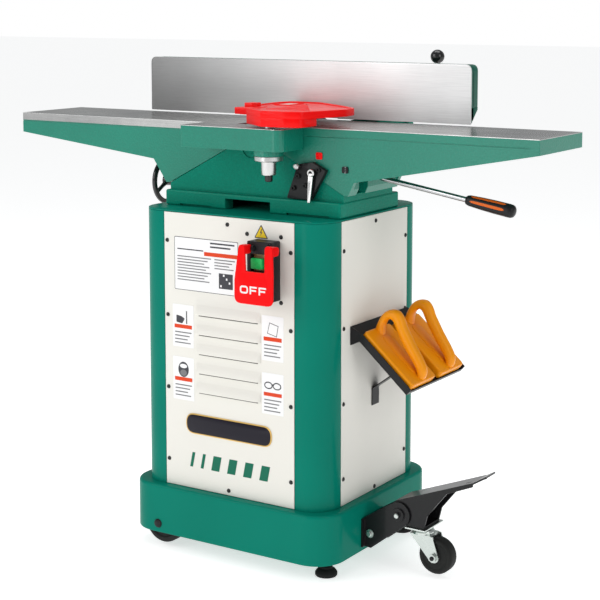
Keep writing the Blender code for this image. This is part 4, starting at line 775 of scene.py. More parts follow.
def ease(node, width, segments=2):
    """Rounds a solid's rims without moving it: welds the loose triangles, then bevels the sharp edges."""
    weld = node.modifiers.new("weld", "WELD")
    weld.merge_threshold = 0.00001
    bevel = node.modifiers.new("rims", "BEVEL")
    bevel.width, bevel.segments = width, segments
    bevel.limit_method, bevel.angle_limit = "ANGLE", math.radians(28)
    bevel.harden_normals = False


def dress(node_name, finish, width=0.0):
    """Finish on a solid that keeps its shape, with its rims rounded where a width is given."""
    nodes[node_name].material_slots[0].material = finish
    if width:
        ease(nodes[node_name], width)


for name, width in (("base_casting", 0.0016), ("fence_support", 0.0020), ("fence_carriage", 0.0010)):
    dress(name, hammered_green, width)

# ---- tables: iron castings with ground tops. The sides are enamelled up to a scribed line; the
# outfeed table's front rim is left bare above its line, the infeed table's rim is painted.


def make_rim_mask():
    """1 above the height Line, where the iron is bare, and 0 below it."""
    tree, given, put = node_group("bare_rim", {"Line": ("Float", 0.816)}, {"Bare": "Float"})
    place, split = fresh(tree, "TexCoord", "SeparateXYZ")
    wire(tree, place, "Object", split, "Vector")
    wire(tree, maths(tree, "GREATER_THAN", (split, "Z"), (given, "Line")), "Value", put, "Bare")
    return tree


RIM = make_rim_mask()
IRON_BRIGHT, IRON_DULL = (0.60, 0.60, 0.59), (0.40, 0.40, 0.40)


def casting(name, line):
    """Enamel below a height, iron ground along the table above it."""
    material, tree, shader = start_finish(name, 0.3)
    film = put_group(tree, ENAMEL, Colour=(*CAST_GREEN, 1), Drift=0.08, Hammer=0.75, Cell=300.0)
    iron = put_group(tree, METAL, Bright=(*IRON_BRIGHT, 1), Dull=(*IRON_DULL, 1), Polish=0.20,
                     Stretch=(0.02, 1, 1))
    bare = (put_group(tree, RIM, Line=line), "Bare")
    wire(tree, *mixed(tree, "RGBA", bare, (film, "Colour"), (iron, "Colour")), shader, "Base Color")
    wire(tree, *bare, shader, "Metallic")
    wire(tree, *mixed(tree, "FLOAT", bare, 0.30, (iron, "Roughness")), shader, "Roughness")
    bump(tree, shader, *mixed(tree, "FLOAT", bare, (film, "Height"), (iron, "Height")), 0.7, 0.0006)
    return material


table_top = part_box("infeed_table")[1][2]
OUTFEED_BARE, INFEED_BARE, LEDGE_BARE = 0.0150, 0.0012, 0.0010    # how far down each rim is left bare
outfeed_finish = casting("outfeed_iron_and_enamel", table_top - OUTFEED_BARE)
infeed_finish = casting("infeed_iron_and_enamel", table_top - INFEED_BARE)
ledge_finish = casting("ledge_iron_and_enamel", table_top - LEDGE_BARE)
dress("outfeed_table", outfeed_finish, 0.0012)
dress("infeed_table", infeed_finish, 0.0012)
dress("rabbet_ledge", ledge_finish, 0.0010)

# ---- guard post: a turned steel flange and spring sleeve that hang under the ledge's boss, with a
# blackened adjusting screw below. The guard turns on its pin.
POST = (0.067, -0.140)
sleeve = [(0, 0.8490), (0.0070, 0.8490), (0.0080, 0.8480), (0.0080, 0.7802), (0.0262, 0.7802),
          (0.0270, 0.7794), (0.0270, 0.7722), (0.0262, 0.7712), (0.0185, 0.7700), (0.0150, 0.7690),
          (0.0140, 0.7660), (0.0140, 0.7470), (0.0128, 0.7448), (0, 0.7448)]
adjuster = [(0, 0.7452), (0.0073, 0.7452), (0.0073, 0.7352), (0.0066, 0.7330), (0.0048, 0.7320),
            (0.0044, 0.7345), (0, 0.7350)]
post_skin, screw_skin = turned(sleeve, (*POST, 0), "z", 44), turned(adjuster, (*POST, 0), "z", 24)
turned_steel = metal("turned_steel", (0.62, 0.62, 0.61), (0.46, 0.46, 0.46), 0.24, (1, 1, 0.15), 0.05)
piece("guard_post_steel", [post_skin], turned_steel, "guard_post", ("guard_post",))
piece("guard_post_screw", [screw_skin], screw_black, "guard_post")

# ---- cutter guard: a red moulded plate with a raised rim and a deep skirt over its pivot, with a lug
# and a hook on its outfeed side. The recessed panel inside the rim carries ribs and a plain notice.
guard_red = moulded("guard_red_plastic", (0.90, 0.0036, 0.0036), 0.24, 900.0, 0.04, 0.02, 0.14)
GUARD_TOP, GUARD_UNDER, SKIRT_END, HOOK_TOP = 0.8655, 0.8520, 0.8365, 0.8713
RIM_DROP = 0.0019                    # how far the panel lies below the rim
guard_shape = np.array([             # x, y and the corner's radius
    (-0.020, -0.058, 0.010), (-0.034, -0.020, 0.020), (-0.036, 0.048, 0.020), (-0.022, 0.079, 0.016),
    (0.046, 0.079, 0.020), (0.136, 0.018, 0.060), (0.182, -0.022, 0.030), (0.186, -0.060, 0.030),
    (0.165, -0.125, 0.020), (0.152, -0.163, 0.016), (0.120, -0.172, 0.020), (0.075, -0.178, 0.004),
    (0.010, -0.130, 0.004)])
guard_outline = fillet(guard_shape[:, :2], guard_shape[:, 2], 4)


def ring_plate(outline, wide, span, ease_by=0.0008):
    """Flat hoop: a rectangle with bevelled upper corners carried round an outline, its inner side
    inset by wide."""
    keep = np.linalg.norm(outline - np.roll(outline, 1, axis=0), axis=1) > 1e-7
    outline = outline[keep]
    steps = [(0.0, span[0]), (0.0, span[1] - ease_by), (ease_by, span[1]), (wide - ease_by, span[1]),
             (wide, span[1] - ease_by), (wide, span[0])]
    rings = np.stack([np.column_stack([inset(outline, off), np.full(len(outline), z)]) for off, z in steps],
                     axis=1)
    return rings_to_skin(rings, looped=True)


hub_shape = np.array([
    (0.014, -0.092, 0.004), (0.010, -0.130, 0.004), (0.075, -0.178, 0.004), (0.120, -0.172, 0.020),
    (0.152, -0.160, 0.016), (0.152, -0.104, 0.010)])
LUGS = (  # across, along, up and down, corner radius: the finger lug, its hook and its neck
    ((-0.030, 0.008), (-0.112, -0.084), (GUARD_UNDER - 0.0003, GUARD_TOP - 0.0012), 0.003),
    ((-0.027, -0.006), (-0.084, -0.056), (GUARD_UNDER + 0.004, HOOK_TOP), 0.003),
    ((-0.014, 0.012), (-0.120, -0.060), (GUARD_UNDER, GUARD_TOP - 0.0008), 0.004))
NOTICE_X, NOTICE_Y, BEZEL = (-0.0075, 0.0235), (-0.0075, 0.0435), 0.0025
RIBS = np.linspace(-0.110, 0.030, 9)
guard_parts = [slab(guard_outline, (GUARD_UNDER, GUARD_TOP - RIM_DROP), "z", 0.0012),
               ring_plate(inset(guard_outline, 0.0004), 0.0052, (GUARD_TOP - 0.0030, GUARD_TOP)),
               slab(fillet(hub_shape[:, :2], hub_shape[:, 2], 4), (SKIRT_END, GUARD_UNDER + 0.002), "z", 0.0015)]
guard_parts += [block(x, y, z, 0.0012, r) for x, y, z, r in LUGS]
around_notice = oblong((NOTICE_X[0] - BEZEL, NOTICE_X[1] + BEZEL), (NOTICE_Y[0] - BEZEL, NOTICE_Y[1] + BEZEL),
                       0.003)
guard_parts.append(ring_plate(around_notice, 0.0022, (GUARD_TOP - 0.003, GUARD_TOP - 0.0004)))
guard_parts += [block((0.040, 0.136 - 0.012 * i), (y, y + 0.005), (GUARD_TOP - 0.0028, GUARD_TOP - 0.0012),
                      0.0005, 0.002) for i, y in enumerate(RIBS)]
piece("guard_moulding", guard_parts, guard_red, "guard", ("cutter_guard",))
notice_film = enamel("guard_notice_film", (0.80, 0.62, 0.60), 0.30, drift=0.02, strength=0.02)
notice = slab(oblong(NOTICE_X, NOTICE_Y, 0.002), (GUARD_TOP - 0.0020, GUARD_TOP - 0.0016), "z", 0.0)
piece("guard_notice", [notice], notice_film, "guard")

# ---- cutterhead and its drive: ground steel head with three knives, iron pulleys, a rubber V-belt, a
# grey motor in the cabinet and a pressed black cover behind the head.
head_steel = metal("ground_head_steel", (0.66, 0.66, 0.65), polish=0.18, stretch=(1, 0.1, 1), strength=0.05)
for name in ("cutterhead", "knife_1", "knife_2", "knife_3"):
    dress(name, head_steel, 0.0004)
grey_enamel = enamel("motor_grey_enamel", (0.085, 0.092, 0.095), 0.45, 0.3, 300.0, 0.10, 0.3, coat=0.05)
for finish, width, names in (
        (grey_enamel, 0.0006, ("cutterhead_pulley", "motor_pulley", "motor_mount")),
        (grey_enamel, 0.0010, ("motor", "front_bearing_block", "rear_bearing_block")),
        (tyre_rubber, 0.0004, ("drive_belt",)), (black_enamel, 0.0008, ("belt_guard",)),
        (zinc, 0.0003, ("dust_chute",)), (bright_steel, 0.0003, ("fence_hinge_rod",))):
    for name in names:
        dress(name, finish, width)
port_black = moulded("dust_port_plastic", (0.011, 0.011, 0.012), 0.42)
dress("dust_port", port_black, 0.0008)

# ---- fence: an iron casting with a ground face, painted on its back, ends and top. Its top corners
# are round, its back has ribs and pockets, and its lower rear edge is chamfered to lean back.
fence_lo, fence_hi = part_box("fence")
FX0, FX1, FZ0, FZ1, FY = fence_lo[0], fence_hi[0], 0.8345, fence_hi[2], 0.0887
FREAR = FY + 0.030
CORNER_R = 0.013
BEHIND = FY + 0.0026                 # where the painted casting starts, just inside the ground face
PAINT_IN = 0.0005                    # how far the paint stays within the face's edge
RIB_X, RIB_HALF = (-0.205, -0.025, 0.262), 0.006
NOTCH = ((0.0690, 0.0995), (0.1605, 0.1910))     # two gaps that clear the carriage's lugs


def ground_face_painted_reflection():
    """Iron ground across the fence's length, with a painted reflection: its colour is darkened towards
    the outfeed end and brightened towards the infeed end, where the face reflects the light.
    """
    material, tree, shader = start_finish("ground_fence_face_painted_reflection", 0.3, metallic=0.55)
    grain = put_group(tree, METAL, Bright=(0.76, 0.76, 0.76, 1), Dull=(0.68, 0.68, 0.68, 1), Polish=0.42,
                      Stretch=(0.02, 1.0, 1.0))
    place, split = fresh(tree, "TexCoord", "SeparateXYZ")
    wire(tree, place, "Object", split, "Vector")
    # painted reflection: a ramp along x that darkens the face at the outfeed end and brightens it towards the
    # infeed end
    along = spread(tree, split, "X", FX0, FX1 * 0.7, 0.34, 1.10)
    along.interpolation_type = "SMOOTHSTEP"
    wire(tree, scaled(tree, (grain, "Colour"), (along, "Result")), "Vector", shader, "Base Color")
    wire(tree, grain, "Roughness", shader, "Roughness")
    bump(tree, shader, grain, "Height", 0.03, 0.0002)
    return material


face_outline = fillet([(FX0, FZ0), (FX1, FZ0), (FX1, FZ1), (FX0, FZ1)],
                      (0.0015, 0.0015, CORNER_R, CORNER_R), 8)
piece("fence_face", [slab(face_outline, (FY, FY + 0.0030), "y", 0.0005)], ground_face_painted_reflection(), "fence",
      ("fence",))
notch_top, web_low = 0.8745, FZ0 + 0.0085
left, right_end, top = FX0 + PAINT_IN, FX1 - PAINT_IN, FZ1 - PAINT_IN
web = [(left, web_low)]
for x0, x1 in NOTCH:
    web += [(x0, web_low), (x0, notch_top), (x1, notch_top), (x1, web_low)]
web += [(right_end, web_low), (right_end, top), (left, top)]
web_outline = fillet(web, [0.0] * 10 + [CORNER_R, CORNER_R], 8)
rim_low = notch_top - 0.009
rim_outline = fillet([(left, rim_low), (right_end, rim_low), (right_end, top), (left, top)],
                     (0.002, 0.002, CORNER_R, CORNER_R), 8)
hoop_verts, hoop_faces = ring_plate(rim_outline, 0.0075, (FY + 0.0100, FREAR), 0.0012)
back_parts = [slab(web_outline, (BEHIND, FY + 0.0120), "y", 0.0), (hoop_verts[:, [0, 2, 1]], hoop_faces)]
for x in RIB_X:
    back_parts.append(slab(oblong((x - RIB_HALF, x + RIB_HALF), (notch_top - 0.006, FZ1 - 0.004)),
                           (FY + 0.010, FREAR - 0.0004), "y", 0.001))
back_parts.append(slab(oblong((0.064, 0.196), (notch_top, FZ1 - 0.004)), (FY + 0.010, FREAR - 0.0002), "y",
                       0.0015))
chamfer = np.array([(BEHIND, FZ0 + 0.0008), (FY + 0.0034, FZ0 + 0.0008), (FREAR, FZ0 + 0.0265),
                    (FREAR, FZ0 + 0.0315), (BEHIND, FZ0 + 0.0315)])
for x0, x1 in ((left, NOTCH[0][0]), (NOTCH[0][1], NOTCH[1][0]), (NOTCH[1][1], right_end)):
    back_parts.append(slab(chamfer, (x0, x1), "x", 0.0006))
knuckle = [(0, 0.1001), (0.0062, 0.1001), (0.0066, 0.1006), (0.0066, 0.1594), (0.0062, 0.1599), (0, 0.1599)]
back_parts.append(turned(knuckle, (0, 0.100, 0.8395), "x", 28))
back_green = enamel("fence_back_enamel", (0.0015, 0.100, 0.066), 0.30, 0.7, 300.0, 0.10, 0.5, coat=0.1)
piece("fence_casting", back_parts, back_green, "fence")

knob_black = moulded("ball_knob_phenolic", (0.010, 0.010, 0.011), 0.12, 500.0, 0.02, 0.02, 0.5)
HANDLE_X = 0.262
handle_path = fillet([(HANDLE_X, 0.1150, 0.9060), (HANDLE_X, 0.1300, 0.9060), (HANDLE_X, 0.1430, 0.9130),
                      (HANDLE_X, 0.1480, 0.9440)], 0.010, 6, closed=False)
piece("fence_handle_rod", [pipe(handle_path, 0.0040, (1, 0, 0), 18)], bright_steel, "fence",
      ("fence_handle",))
half_turn = np.linspace(0, math.pi, 18)[:-2]
ball = [(0.0135 * math.sin(a), 0.0135 * math.cos(a)) for a in half_turn]
ball += [(0.0050, -0.0137), (0.0048, -0.0142), (0, -0.0142)]
piece("fence_ball", [turned(ball, (HANDLE_X, 0.1495, 0.9569), "z", 32)], knob_black, "fence",
      ("fence_ball_knob",))
dress("fence_lock_lever", black_enamel, 0.0008)

# ---- lock bracket: a black steel plate screwed on the base, with socket screws and a gib knob; a
# bright steel lever on its stud clamps the infeed table. The red pointer marks the depth of cut.
plate_front, plate_back = -0.1035, -0.0926
bracket = fillet([(0.0822, 0.6990), (0.1351, 0.6985), (0.1675, 0.7544), (0.1380, 0.7690), (0.1066, 0.7636)],
                 0.0025, 3)


def socket_screw(x, z, y, r=0.0045, h=0.0040):
    """Cap screw with an eased rim and a well in its head, turned about Y; its seat is at y."""
    profile = [(0, h * 0.35), (r * 0.50, h * 0.35), (r * 0.54, h * 0.97), (r * 0.86, h), (r, h * 0.86),
               (r, -0.0006), (0, -0.0006)]
    return turned([(a, -b) for a, b in profile], (x, y, z), "y", 20)


bracket_parts = [slab(bracket, (plate_front, plate_back), "y", 0.0010)]
bracket_screws = ((0.1085, 0.7420), (0.0985, 0.7190), (0.1240, 0.7250), (0.1530, 0.7560))
bracket_parts += [socket_screw(x, z, plate_front) for x, z in bracket_screws]
bracket_parts.append(turned([(0, -0.0195), (0.0034, -0.0195), (0.0036, -0.0190), (0.0036, 0.0), (0, 0.0)],
                            (0.1410, plate_back, 0.7500), "y", 20))
piece("bracket_plate", bracket_parts, black_enamel, "body", ("lock_bracket",))
knob = [(0, -0.0088), (0.0040, -0.0088), (0.0056, -0.0078), (0.0062, -0.0058), (0.0056, -0.0036),
        (0.0040, -0.0030), (0.0040, 0.0), (0, 0.0)]
piece("gib_knob", [turned(knob, (0.1075, plate_front, 0.7600), "y", 24)], turned_steel, "body")
lever_lo, lever_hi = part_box("lock_lever")
blade = fillet([(0.1352, 0.7490), (0.1337, 0.7000), (0.1332, 0.6942), (0.1388, 0.6940), (0.1400, 0.7000),
                (0.1462, 0.7490)], 0.002, 3)
eye = [(0.0039, 0.0), (0.0066, 0.0), (0.0075, 0.0010), (0.0075, 0.0050), (0.0066, 0.0060), (0.0039, 0.0060)]
lever_parts = [slab(blade, (lever_lo[1] + 0.0012, lever_hi[1] - 0.0012), "y", 0.0010),
               turned(eye, (0.1410, lever_lo[1], 0.7500), "y", 28, looped=True)]
piece("lock_lever_blade", lever_parts, bright_steel, "table_lock", ("lock_lever",))
pointer_lo, pointer_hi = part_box("depth_pointer")
px, pz = (pointer_lo[0] + pointer_hi[0]) / 2, (pointer_lo[2] + pointer_hi[2]) / 2
pointer_outline = oblong((px - 0.0068, px + 0.0068), (pz - 0.0065, pz + 0.0065), 0.003)
ring = [(0.0030, -0.0030), (0.0048, -0.0030), (0.0052, -0.0024), (0.0052, 0.0), (0.0030, 0.0)]
pointer_parts = [slab(pointer_outline, (pointer_hi[1] - 0.0018, pointer_hi[1]), "y", 0.0004),
                 turned(ring, (px, pointer_hi[1] - 0.0002, pz), "y", 24, looped=True)]
piece("depth_pointer_plate", pointer_parts, guard_red, "infeed", ("depth_pointer",))

# ---- infeed lever: a bent steel rod from the cross shaft, with a black plastic grip that has four
# orange inlays. The shaft's slotted end shows on the table's side.
LEVER_Y = -0.046
PIVOT, ELBOW, TIP = (np.array([x, LEVER_Y, z]) for x, z in ((0.203, 0.7575), (0.2560, 0.7410), (0.4360, 0.7120)))
shaft = [(0, -0.0475), (0.0060, -0.0475), (0.0060, 0.0460), (0, 0.0460)]
collar = [(0, -0.0100), (0.0100, -0.0100), (0.0110, -0.0090), (0.0110, 0.0090), (0.0100, 0.0100), (0, 0.0100)]
rod_parts = [pipe(fillet([PIVOT, ELBOW, TIP], 0.03, 8, closed=False), 0.0050, (0, 1, 0), 20),
             turned(shaft, PIVOT, "y", 24), turned(collar, PIVOT, "y", 28)]
dark_chrome = metal("lever_chrome", (0.50, 0.50, 0.51), (0.36, 0.36, 0.37), 0.10)
piece("infeed_lever_rod", rod_parts, dark_chrome, "infeed_lever", ("infeed_lever",))
halves = [slab(oblong((PIVOT[0] + a, PIVOT[0] + b), (PIVOT[2] - 0.0060, PIVOT[2] + 0.0060), 0.0025),
               (-0.0952, -0.0925), "y", 0.0005) for a, b in ((-0.0062, -0.0010), (0.0010, 0.0062))]
piece("lever_shaft_end", halves, black_enamel, "infeed_lever")
along_grip = TIP - ELBOW
along_grip /= np.linalg.norm(along_grip)
grip_start = TIP - 0.010 * along_grip
up_grip, side_grip = np.cross(along_grip, (0, 1, 0)), np.array([0, 1.0, 0])
# distance along the grip and its radius there
GRIP = np.array([(0.0, 0.0062), (0.0, 0.0076), (0.0012, 0.0084), (0.0060, 0.0098), (0.0300, 0.0112),
                 (0.0550, 0.0120), (0.0820, 0.0122), (0.0880, 0.0119), (0.0915, 0.0104),
                 (0.0935, 0.0080), (0.0944, 0.0040), (0.0945, 0.0)])


def on_grip(s, turn, lift=0.0):
    """Point on the grip: s along it, turned about it from straight up, lift above its skin."""
    r = np.interp(s, GRIP[:, 0], GRIP[:, 1]) + lift
    return (grip_start + s[..., None] * along_grip
            + (r * np.cos(turn))[..., None] * up_grip + (r * np.sin(turn))[..., None] * -side_grip)


t = np.linspace(0, 2 * math.pi, 28, endpoint=False)
round_grip = np.cos(t)[:, None] * up_grip + np.sin(t)[:, None] * side_grip
body_rings = np.stack([grip_start + s * along_grip + r * round_grip for s, r in GRIP])
grip_black = moulded("grip_black_plastic", (0.013, 0.013, 0.014), 0.34, 700.0, 0.12)
piece("lever_grip_body", [rings_to_skin(body_rings)], grip_black, "infeed_lever",
      ("lever_grip",))
grip_orange = moulded("grip_orange_inlay", (0.72, 0.13, 0.010), 0.36, 700.0, 0.08)


def inlay(turn, half_wide=0.20, s0=0.010, s1=0.078):
    """Strip along the grip: a thin section at each of several stations, its ends narrowed to round."""
    s = np.linspace(s0, s1, 24)
    wide = half_wide * np.sqrt(np.clip(1 - (np.abs(np.linspace(-1, 1, 24)) ** 10), 0.02, 1))
    turns = turn + wide[:, None] * np.array([-1, -0.5, 0.5, 1, 1, 0, -1])
    lifts = np.array([0.0005, 0.0007, 0.0007, 0.0005, -0.0012, -0.0012, -0.0012])
    return rings_to_skin(on_grip(np.broadcast_to(s[:, None], turns.shape), turns, lifts))


piece("lever_grip_inlays", [inlay(math.radians(a)) for a in (30, 84, 210, 264)], grip_orange,
      "infeed_lever")

# ---- outfeed handwheel: a black moulded rim on three round spokes, a steel shaft into the base's end
# and a turned knob.
HW, RIM_R, RIM_T = np.array([-0.275, 0.0, 0.700]), 0.0438, 0.0052
circle = np.linspace(0, 2 * math.pi, 14, endpoint=False)
rim_section = np.column_stack([RIM_R + RIM_T * np.cos(circle), RIM_T * np.sin(circle)])
hub = [(0, -0.0080), (0.0085, -0.0080), (0.0108, -0.0062), (0.0112, 0.0), (0.0108, 0.0130),
       (0.0095, 0.0140), (0, 0.0140)]
wheel_parts = [turned(rim_section, HW, "x", 56, looped=True), turned(hub, HW, "x", 28)]
for a in np.radians([90, 210, 330]):
    tip = HW + RIM_R * np.array([0, math.cos(a), math.sin(a)])
    s = np.linspace(0.12, 1, 8)[:, None]
    spoke_r = np.interp(s[:, 0], [0.1, 0.5, 1], [0.0055, 0.0038, 0.0042])
    wheel_parts.append(pipe(HW + (tip - HW) * s, spoke_r, (1, 0, 0), 14))
hand_black = moulded("handwheel_plastic", (0.011, 0.011, 0.012), 0.16, 500.0, 0.03, 0.03, 0.6)
piece("handwheel_moulding", wheel_parts, hand_black, "handwheel", ("handwheel",))
wheel_shaft = [(0, 0.0100), (0.0055, 0.0100), (0.0055, 0.0910), (0, 0.0910)]
piece("handwheel_shaft", [turned(wheel_shaft, HW, "x", 20)], bright_steel, "handwheel")
ky, kz = HW[1] + RIM_R * math.cos(math.radians(30)), HW[2] + RIM_R * math.sin(math.radians(30))
knob = [(0, -0.0302), (0.0045, -0.0298), (0.0072, -0.0280), (0.0080, -0.0240), (0.0074, -0.0150),
        (0.0052, -0.0050), (0.0046, -0.0003), (0, -0.0003)]
piece("handwheel_knob_turned", [turned(knob, (HW[0] - RIM_T, ky, kz), "x", 28)], hand_black,
      "handwheel_knob", ("handwheel_knob",))

# ---- paddle switch: a black moulded box screwed to the front panel, a green start button on a buff
# plate in its well, and a red stop paddle hinged over it on two arms. The paddle says OFF.
SW_X, SW_Z, SW_FACE = (0.0560, 0.1100), (0.5180, 0.6290), -0.1967


def stood_up(skin, y):
    """A skin made flat on z = 0, stood on edge at y with its upper side to the front."""
    points, faces = skin
    return np.column_stack([points[:, 0], y - points[:, 2], points[:, 1]]), faces


switch_black = moulded("switch_black_plastic", (0.016, 0.016, 0.018), 0.38, 800.0, 0.12)
box_outline = oblong(SW_X, SW_Z, 0.004)
WELL_X, WELL_Z = (0.0650, 0.0965), (0.5730, 0.6060)
switch_parts = [slab(box_outline, (SW_FACE + 0.0110, -0.1668), "y", 0.0006)]
SHELL_DEEP = 0.0125
switch_parts.append(stood_up(ring_plate(box_outline, 0.0088, (0.0, SHELL_DEEP), 0.0016), SW_FACE + SHELL_DEEP))
in_x, in_z = (SW_X[0] + 0.004, SW_X[1] - 0.004), (SW_Z[0] + 0.004, SW_Z[1] - 0.004)
beside_z = (WELL_Z[0] - 0.001, WELL_Z[1] + 0.001)
for x, z in ((in_x, (in_z[0], WELL_Z[0])), (in_x, (WELL_Z[1], in_z[1])), ((in_x[0], WELL_X[0]), beside_z),
             ((WELL_X[1], in_x[1]), beside_z)):
    switch_parts.append(slab(oblong(x, z), (SW_FACE + 0.0006, SW_FACE + 0.0120), "y", 0.0006))
for x in ((0.0704, 0.0744), (0.1058, 0.1098)):
    ear = fillet([(SW_FACE + 0.0010, 0.6105), (SW_FACE - 0.0082, 0.6115), (SW_FACE - 0.0082, 0.6215),
                  (SW_FACE + 0.0010, 0.6225)], 0.004, 4)
    switch_parts.append(slab(ear, x, "x", 0.0005))
piece("switch_moulding", switch_parts, switch_black, "body", ("switch_box",))
buff = moulded("switch_buff_plate", (0.52, 0.40, 0.20), 0.5)
GAP = 0.0008
buff_outline = oblong((WELL_X[0] + GAP, WELL_X[1] - GAP), (WELL_Z[0] + GAP, WELL_Z[1] - GAP), 0.002)
piece("switch_plate", [slab(buff_outline, (SW_FACE + 0.0092, SW_FACE + 0.0112), "y", 0.0004)], buff, "body")
button_green = moulded("button_green_plastic", (0.020, 0.60, 0.13), 0.30, 900.0, 0.05, 0.03)
button = oblong((0.0680, 0.0930), (0.5790, 0.5990), 0.003)
piece("start_button_cap", [slab(button, (SW_FACE - 0.0050, SW_FACE + 0.0042), "y", 0.0016),
                           slab(oblong((0.0755, 0.0855), (0.5878, 0.5902), 0.0008),
                                (SW_FACE - 0.0056, SW_FACE - 0.004), "y", 0.0003)],
      button_green, "button", ("start_button",))
paddle_red = moulded("paddle_red_plastic", (0.90, 0.0040, 0.0056), 0.30, 900.0, 0.04, 0.02, 0.07)
PY0, PY1 = -0.2240, -0.2200          # front and rear of its plate
paddle_shape = np.array([            # x, z and the corner's radius
    (0.0510, 0.585, 0.010), (0.0472, 0.560, 0.020), (0.0470, 0.5178, 0.014), (0.1310, 0.5178, 0.014),
    (0.1318, 0.575, 0.030), (0.1302, 0.6275, 0.009), (0.1136, 0.6275, 0.009), (0.1134, 0.578, 0.004),
    (0.0720, 0.578, 0.004), (0.0698, 0.6258, 0.0064), (0.0574, 0.6258, 0.0064)])
paddle_outline = fillet(paddle_shape[:, :2], paddle_shape[:, 2], 5)
paddle_parts = [slab(paddle_outline, (PY0, PY1), "y", 0.0011)]
for x in ((0.0577, 0.0693), (0.1142, 0.1296)):
    arm = fillet([(PY1 - 0.0010, 0.6080), (-0.1994, 0.6080), (-0.1994, 0.6248), (PY1 - 0.0010, 0.6248)],
                 (0.001, 0.008, 0.008, 0.001), 5)
    paddle_parts.append(slab(arm, x, "x", 0.0008))
lip = oblong((0.0585, 0.1195), (PY1 - 0.0010, -0.2118), 0.002)
paddle_parts.append(slab(lip, (0.5182, 0.5216), "z", 0.0006))
piece("stop_paddle_moulding", paddle_parts, paddle_red, "paddle", ("stop_paddle",))
sign_white = enamel("paddle_letter_white", (0.86, 0.86, 0.85), 0.35, drift=0.01, strength=0.02)
LETTER_Z, LETTER_W, STEM = (0.5370, 0.5515), 0.0170, 0.0032
letter_o = oblong((0.0600, 0.0600 + LETTER_W + 0.001), LETTER_Z, 0.0062, 6)
letters = [stood_up(ring_plate(letter_o, STEM, (0.0, 0.0004), 0.0001), PY0 + 0.0001)]
low, high, mid_z = *LETTER_Z, sum(LETTER_Z) / 2
for x in (0.0815, 0.1012):
    letter_f = np.array([(x, low), (x + STEM, low), (x + STEM, mid_z - 0.0018), (x + 0.0140, mid_z - 0.0018),
                         (x + 0.0140, mid_z + 0.0012), (x + STEM, mid_z + 0.0012), (x + STEM, high - 0.0030),
                         (x + 0.0160, high - 0.0030), (x + 0.0160, high), (x, high)])
    letters.append(slab(letter_f, (PY0 - 0.0003, PY0 + 0.0001), "y", 0.0))
piece("paddle_letters", letters, sign_white, "paddle")
switch_screws = [(0.0366, face, 0.6360), (0.1117, face, 0.6360), (0.1117, face, 0.5144)]
piece("switch_screws", copies(pan_screw("y", -1), switch_screws), screw_black, "body")

# ---- push-block holder and blocks: a folded black steel tray on the cabinet's side, and two orange
# moulded blocks, each a plate with a round-section loop handle.
holder_black = enamel("holder_black_enamel", (0.011, 0.011, 0.012), 0.36, 0.1, 500.0, 0.08, 0.15, coat=0.1)
dress("push_block_holder", holder_black, 0.0006)
TRAY = np.array([0.2240, 0.4390])
DOWN = np.array([0.3235 - 0.2240, 0.3515 - 0.4390])
DOWN /= np.linalg.norm(DOWN)
OUT = np.array([-DOWN[1], DOWN[0]])


def on_tray(points, y):
    """Points (along the slope, out of it, sideways) set in the tray at a distance y."""
    points = np.asarray(points, float)
    xz = TRAY + points[..., :1] * DOWN + points[..., 1:2] * OUT
    return np.stack([xz[..., 0], y + points[..., 2], xz[..., 1]], axis=-1)


def resample(path, count):
    """The same number of points at even steps along a path, its first and last kept."""
    path = np.asarray(path, float)
    run = np.concatenate([[0], np.cumsum(np.linalg.norm(np.diff(path, axis=0), axis=1))])
    at = np.linspace(0, run[-1], count)
    return np.column_stack([np.interp(at, run, path[:, i]) for i in range(path.shape[1])])


outer_arch = fillet([(-0.0040, 0.0100), (-0.0110, 0.0320), (-0.0150, 0.0520), (-0.0080, 0.0690),
                     (0.0060, 0.0790), (0.0200, 0.0755), (0.0330, 0.0680), (0.0670, 0.0560),
                     (0.0990, 0.0470), (0.1170, 0.0400), (0.1265, 0.0270), (0.1255, 0.0100)],
                    0.03, 4, closed=False)
inner_arch = fillet([(0.0150, 0.0195), (0.0040, 0.0330), (0.0000, 0.0440), (0.0035, 0.0545),
                     (0.0120, 0.0560), (0.0210, 0.0510), (0.0400, 0.0430), (0.0720, 0.0330),
                     (0.1000, 0.0265), (0.1110, 0.0235), (0.1110, 0.0195)], 0.02, 4, closed=False)
RINGS, UNDER_RINGS = 44, 16
under_out = resample([(0.1255, 0.0100), (0.1240, 0.0060), (0.0000, 0.0060), (-0.0040, 0.0100)], UNDER_RINGS)[1:-1]
under_in = resample([(0.1110, 0.0195), (0.1080, 0.0170), (0.0180, 0.0170), (0.0150, 0.0195)], UNDER_RINGS)[1:-1]
loop_out = np.concatenate([resample(outer_arch, RINGS), under_out])
loop_in = np.concatenate([resample(inner_arch, RINGS), under_in])
middle, arm_half = (loop_out + loop_in) / 2, (loop_out - loop_in) / 2
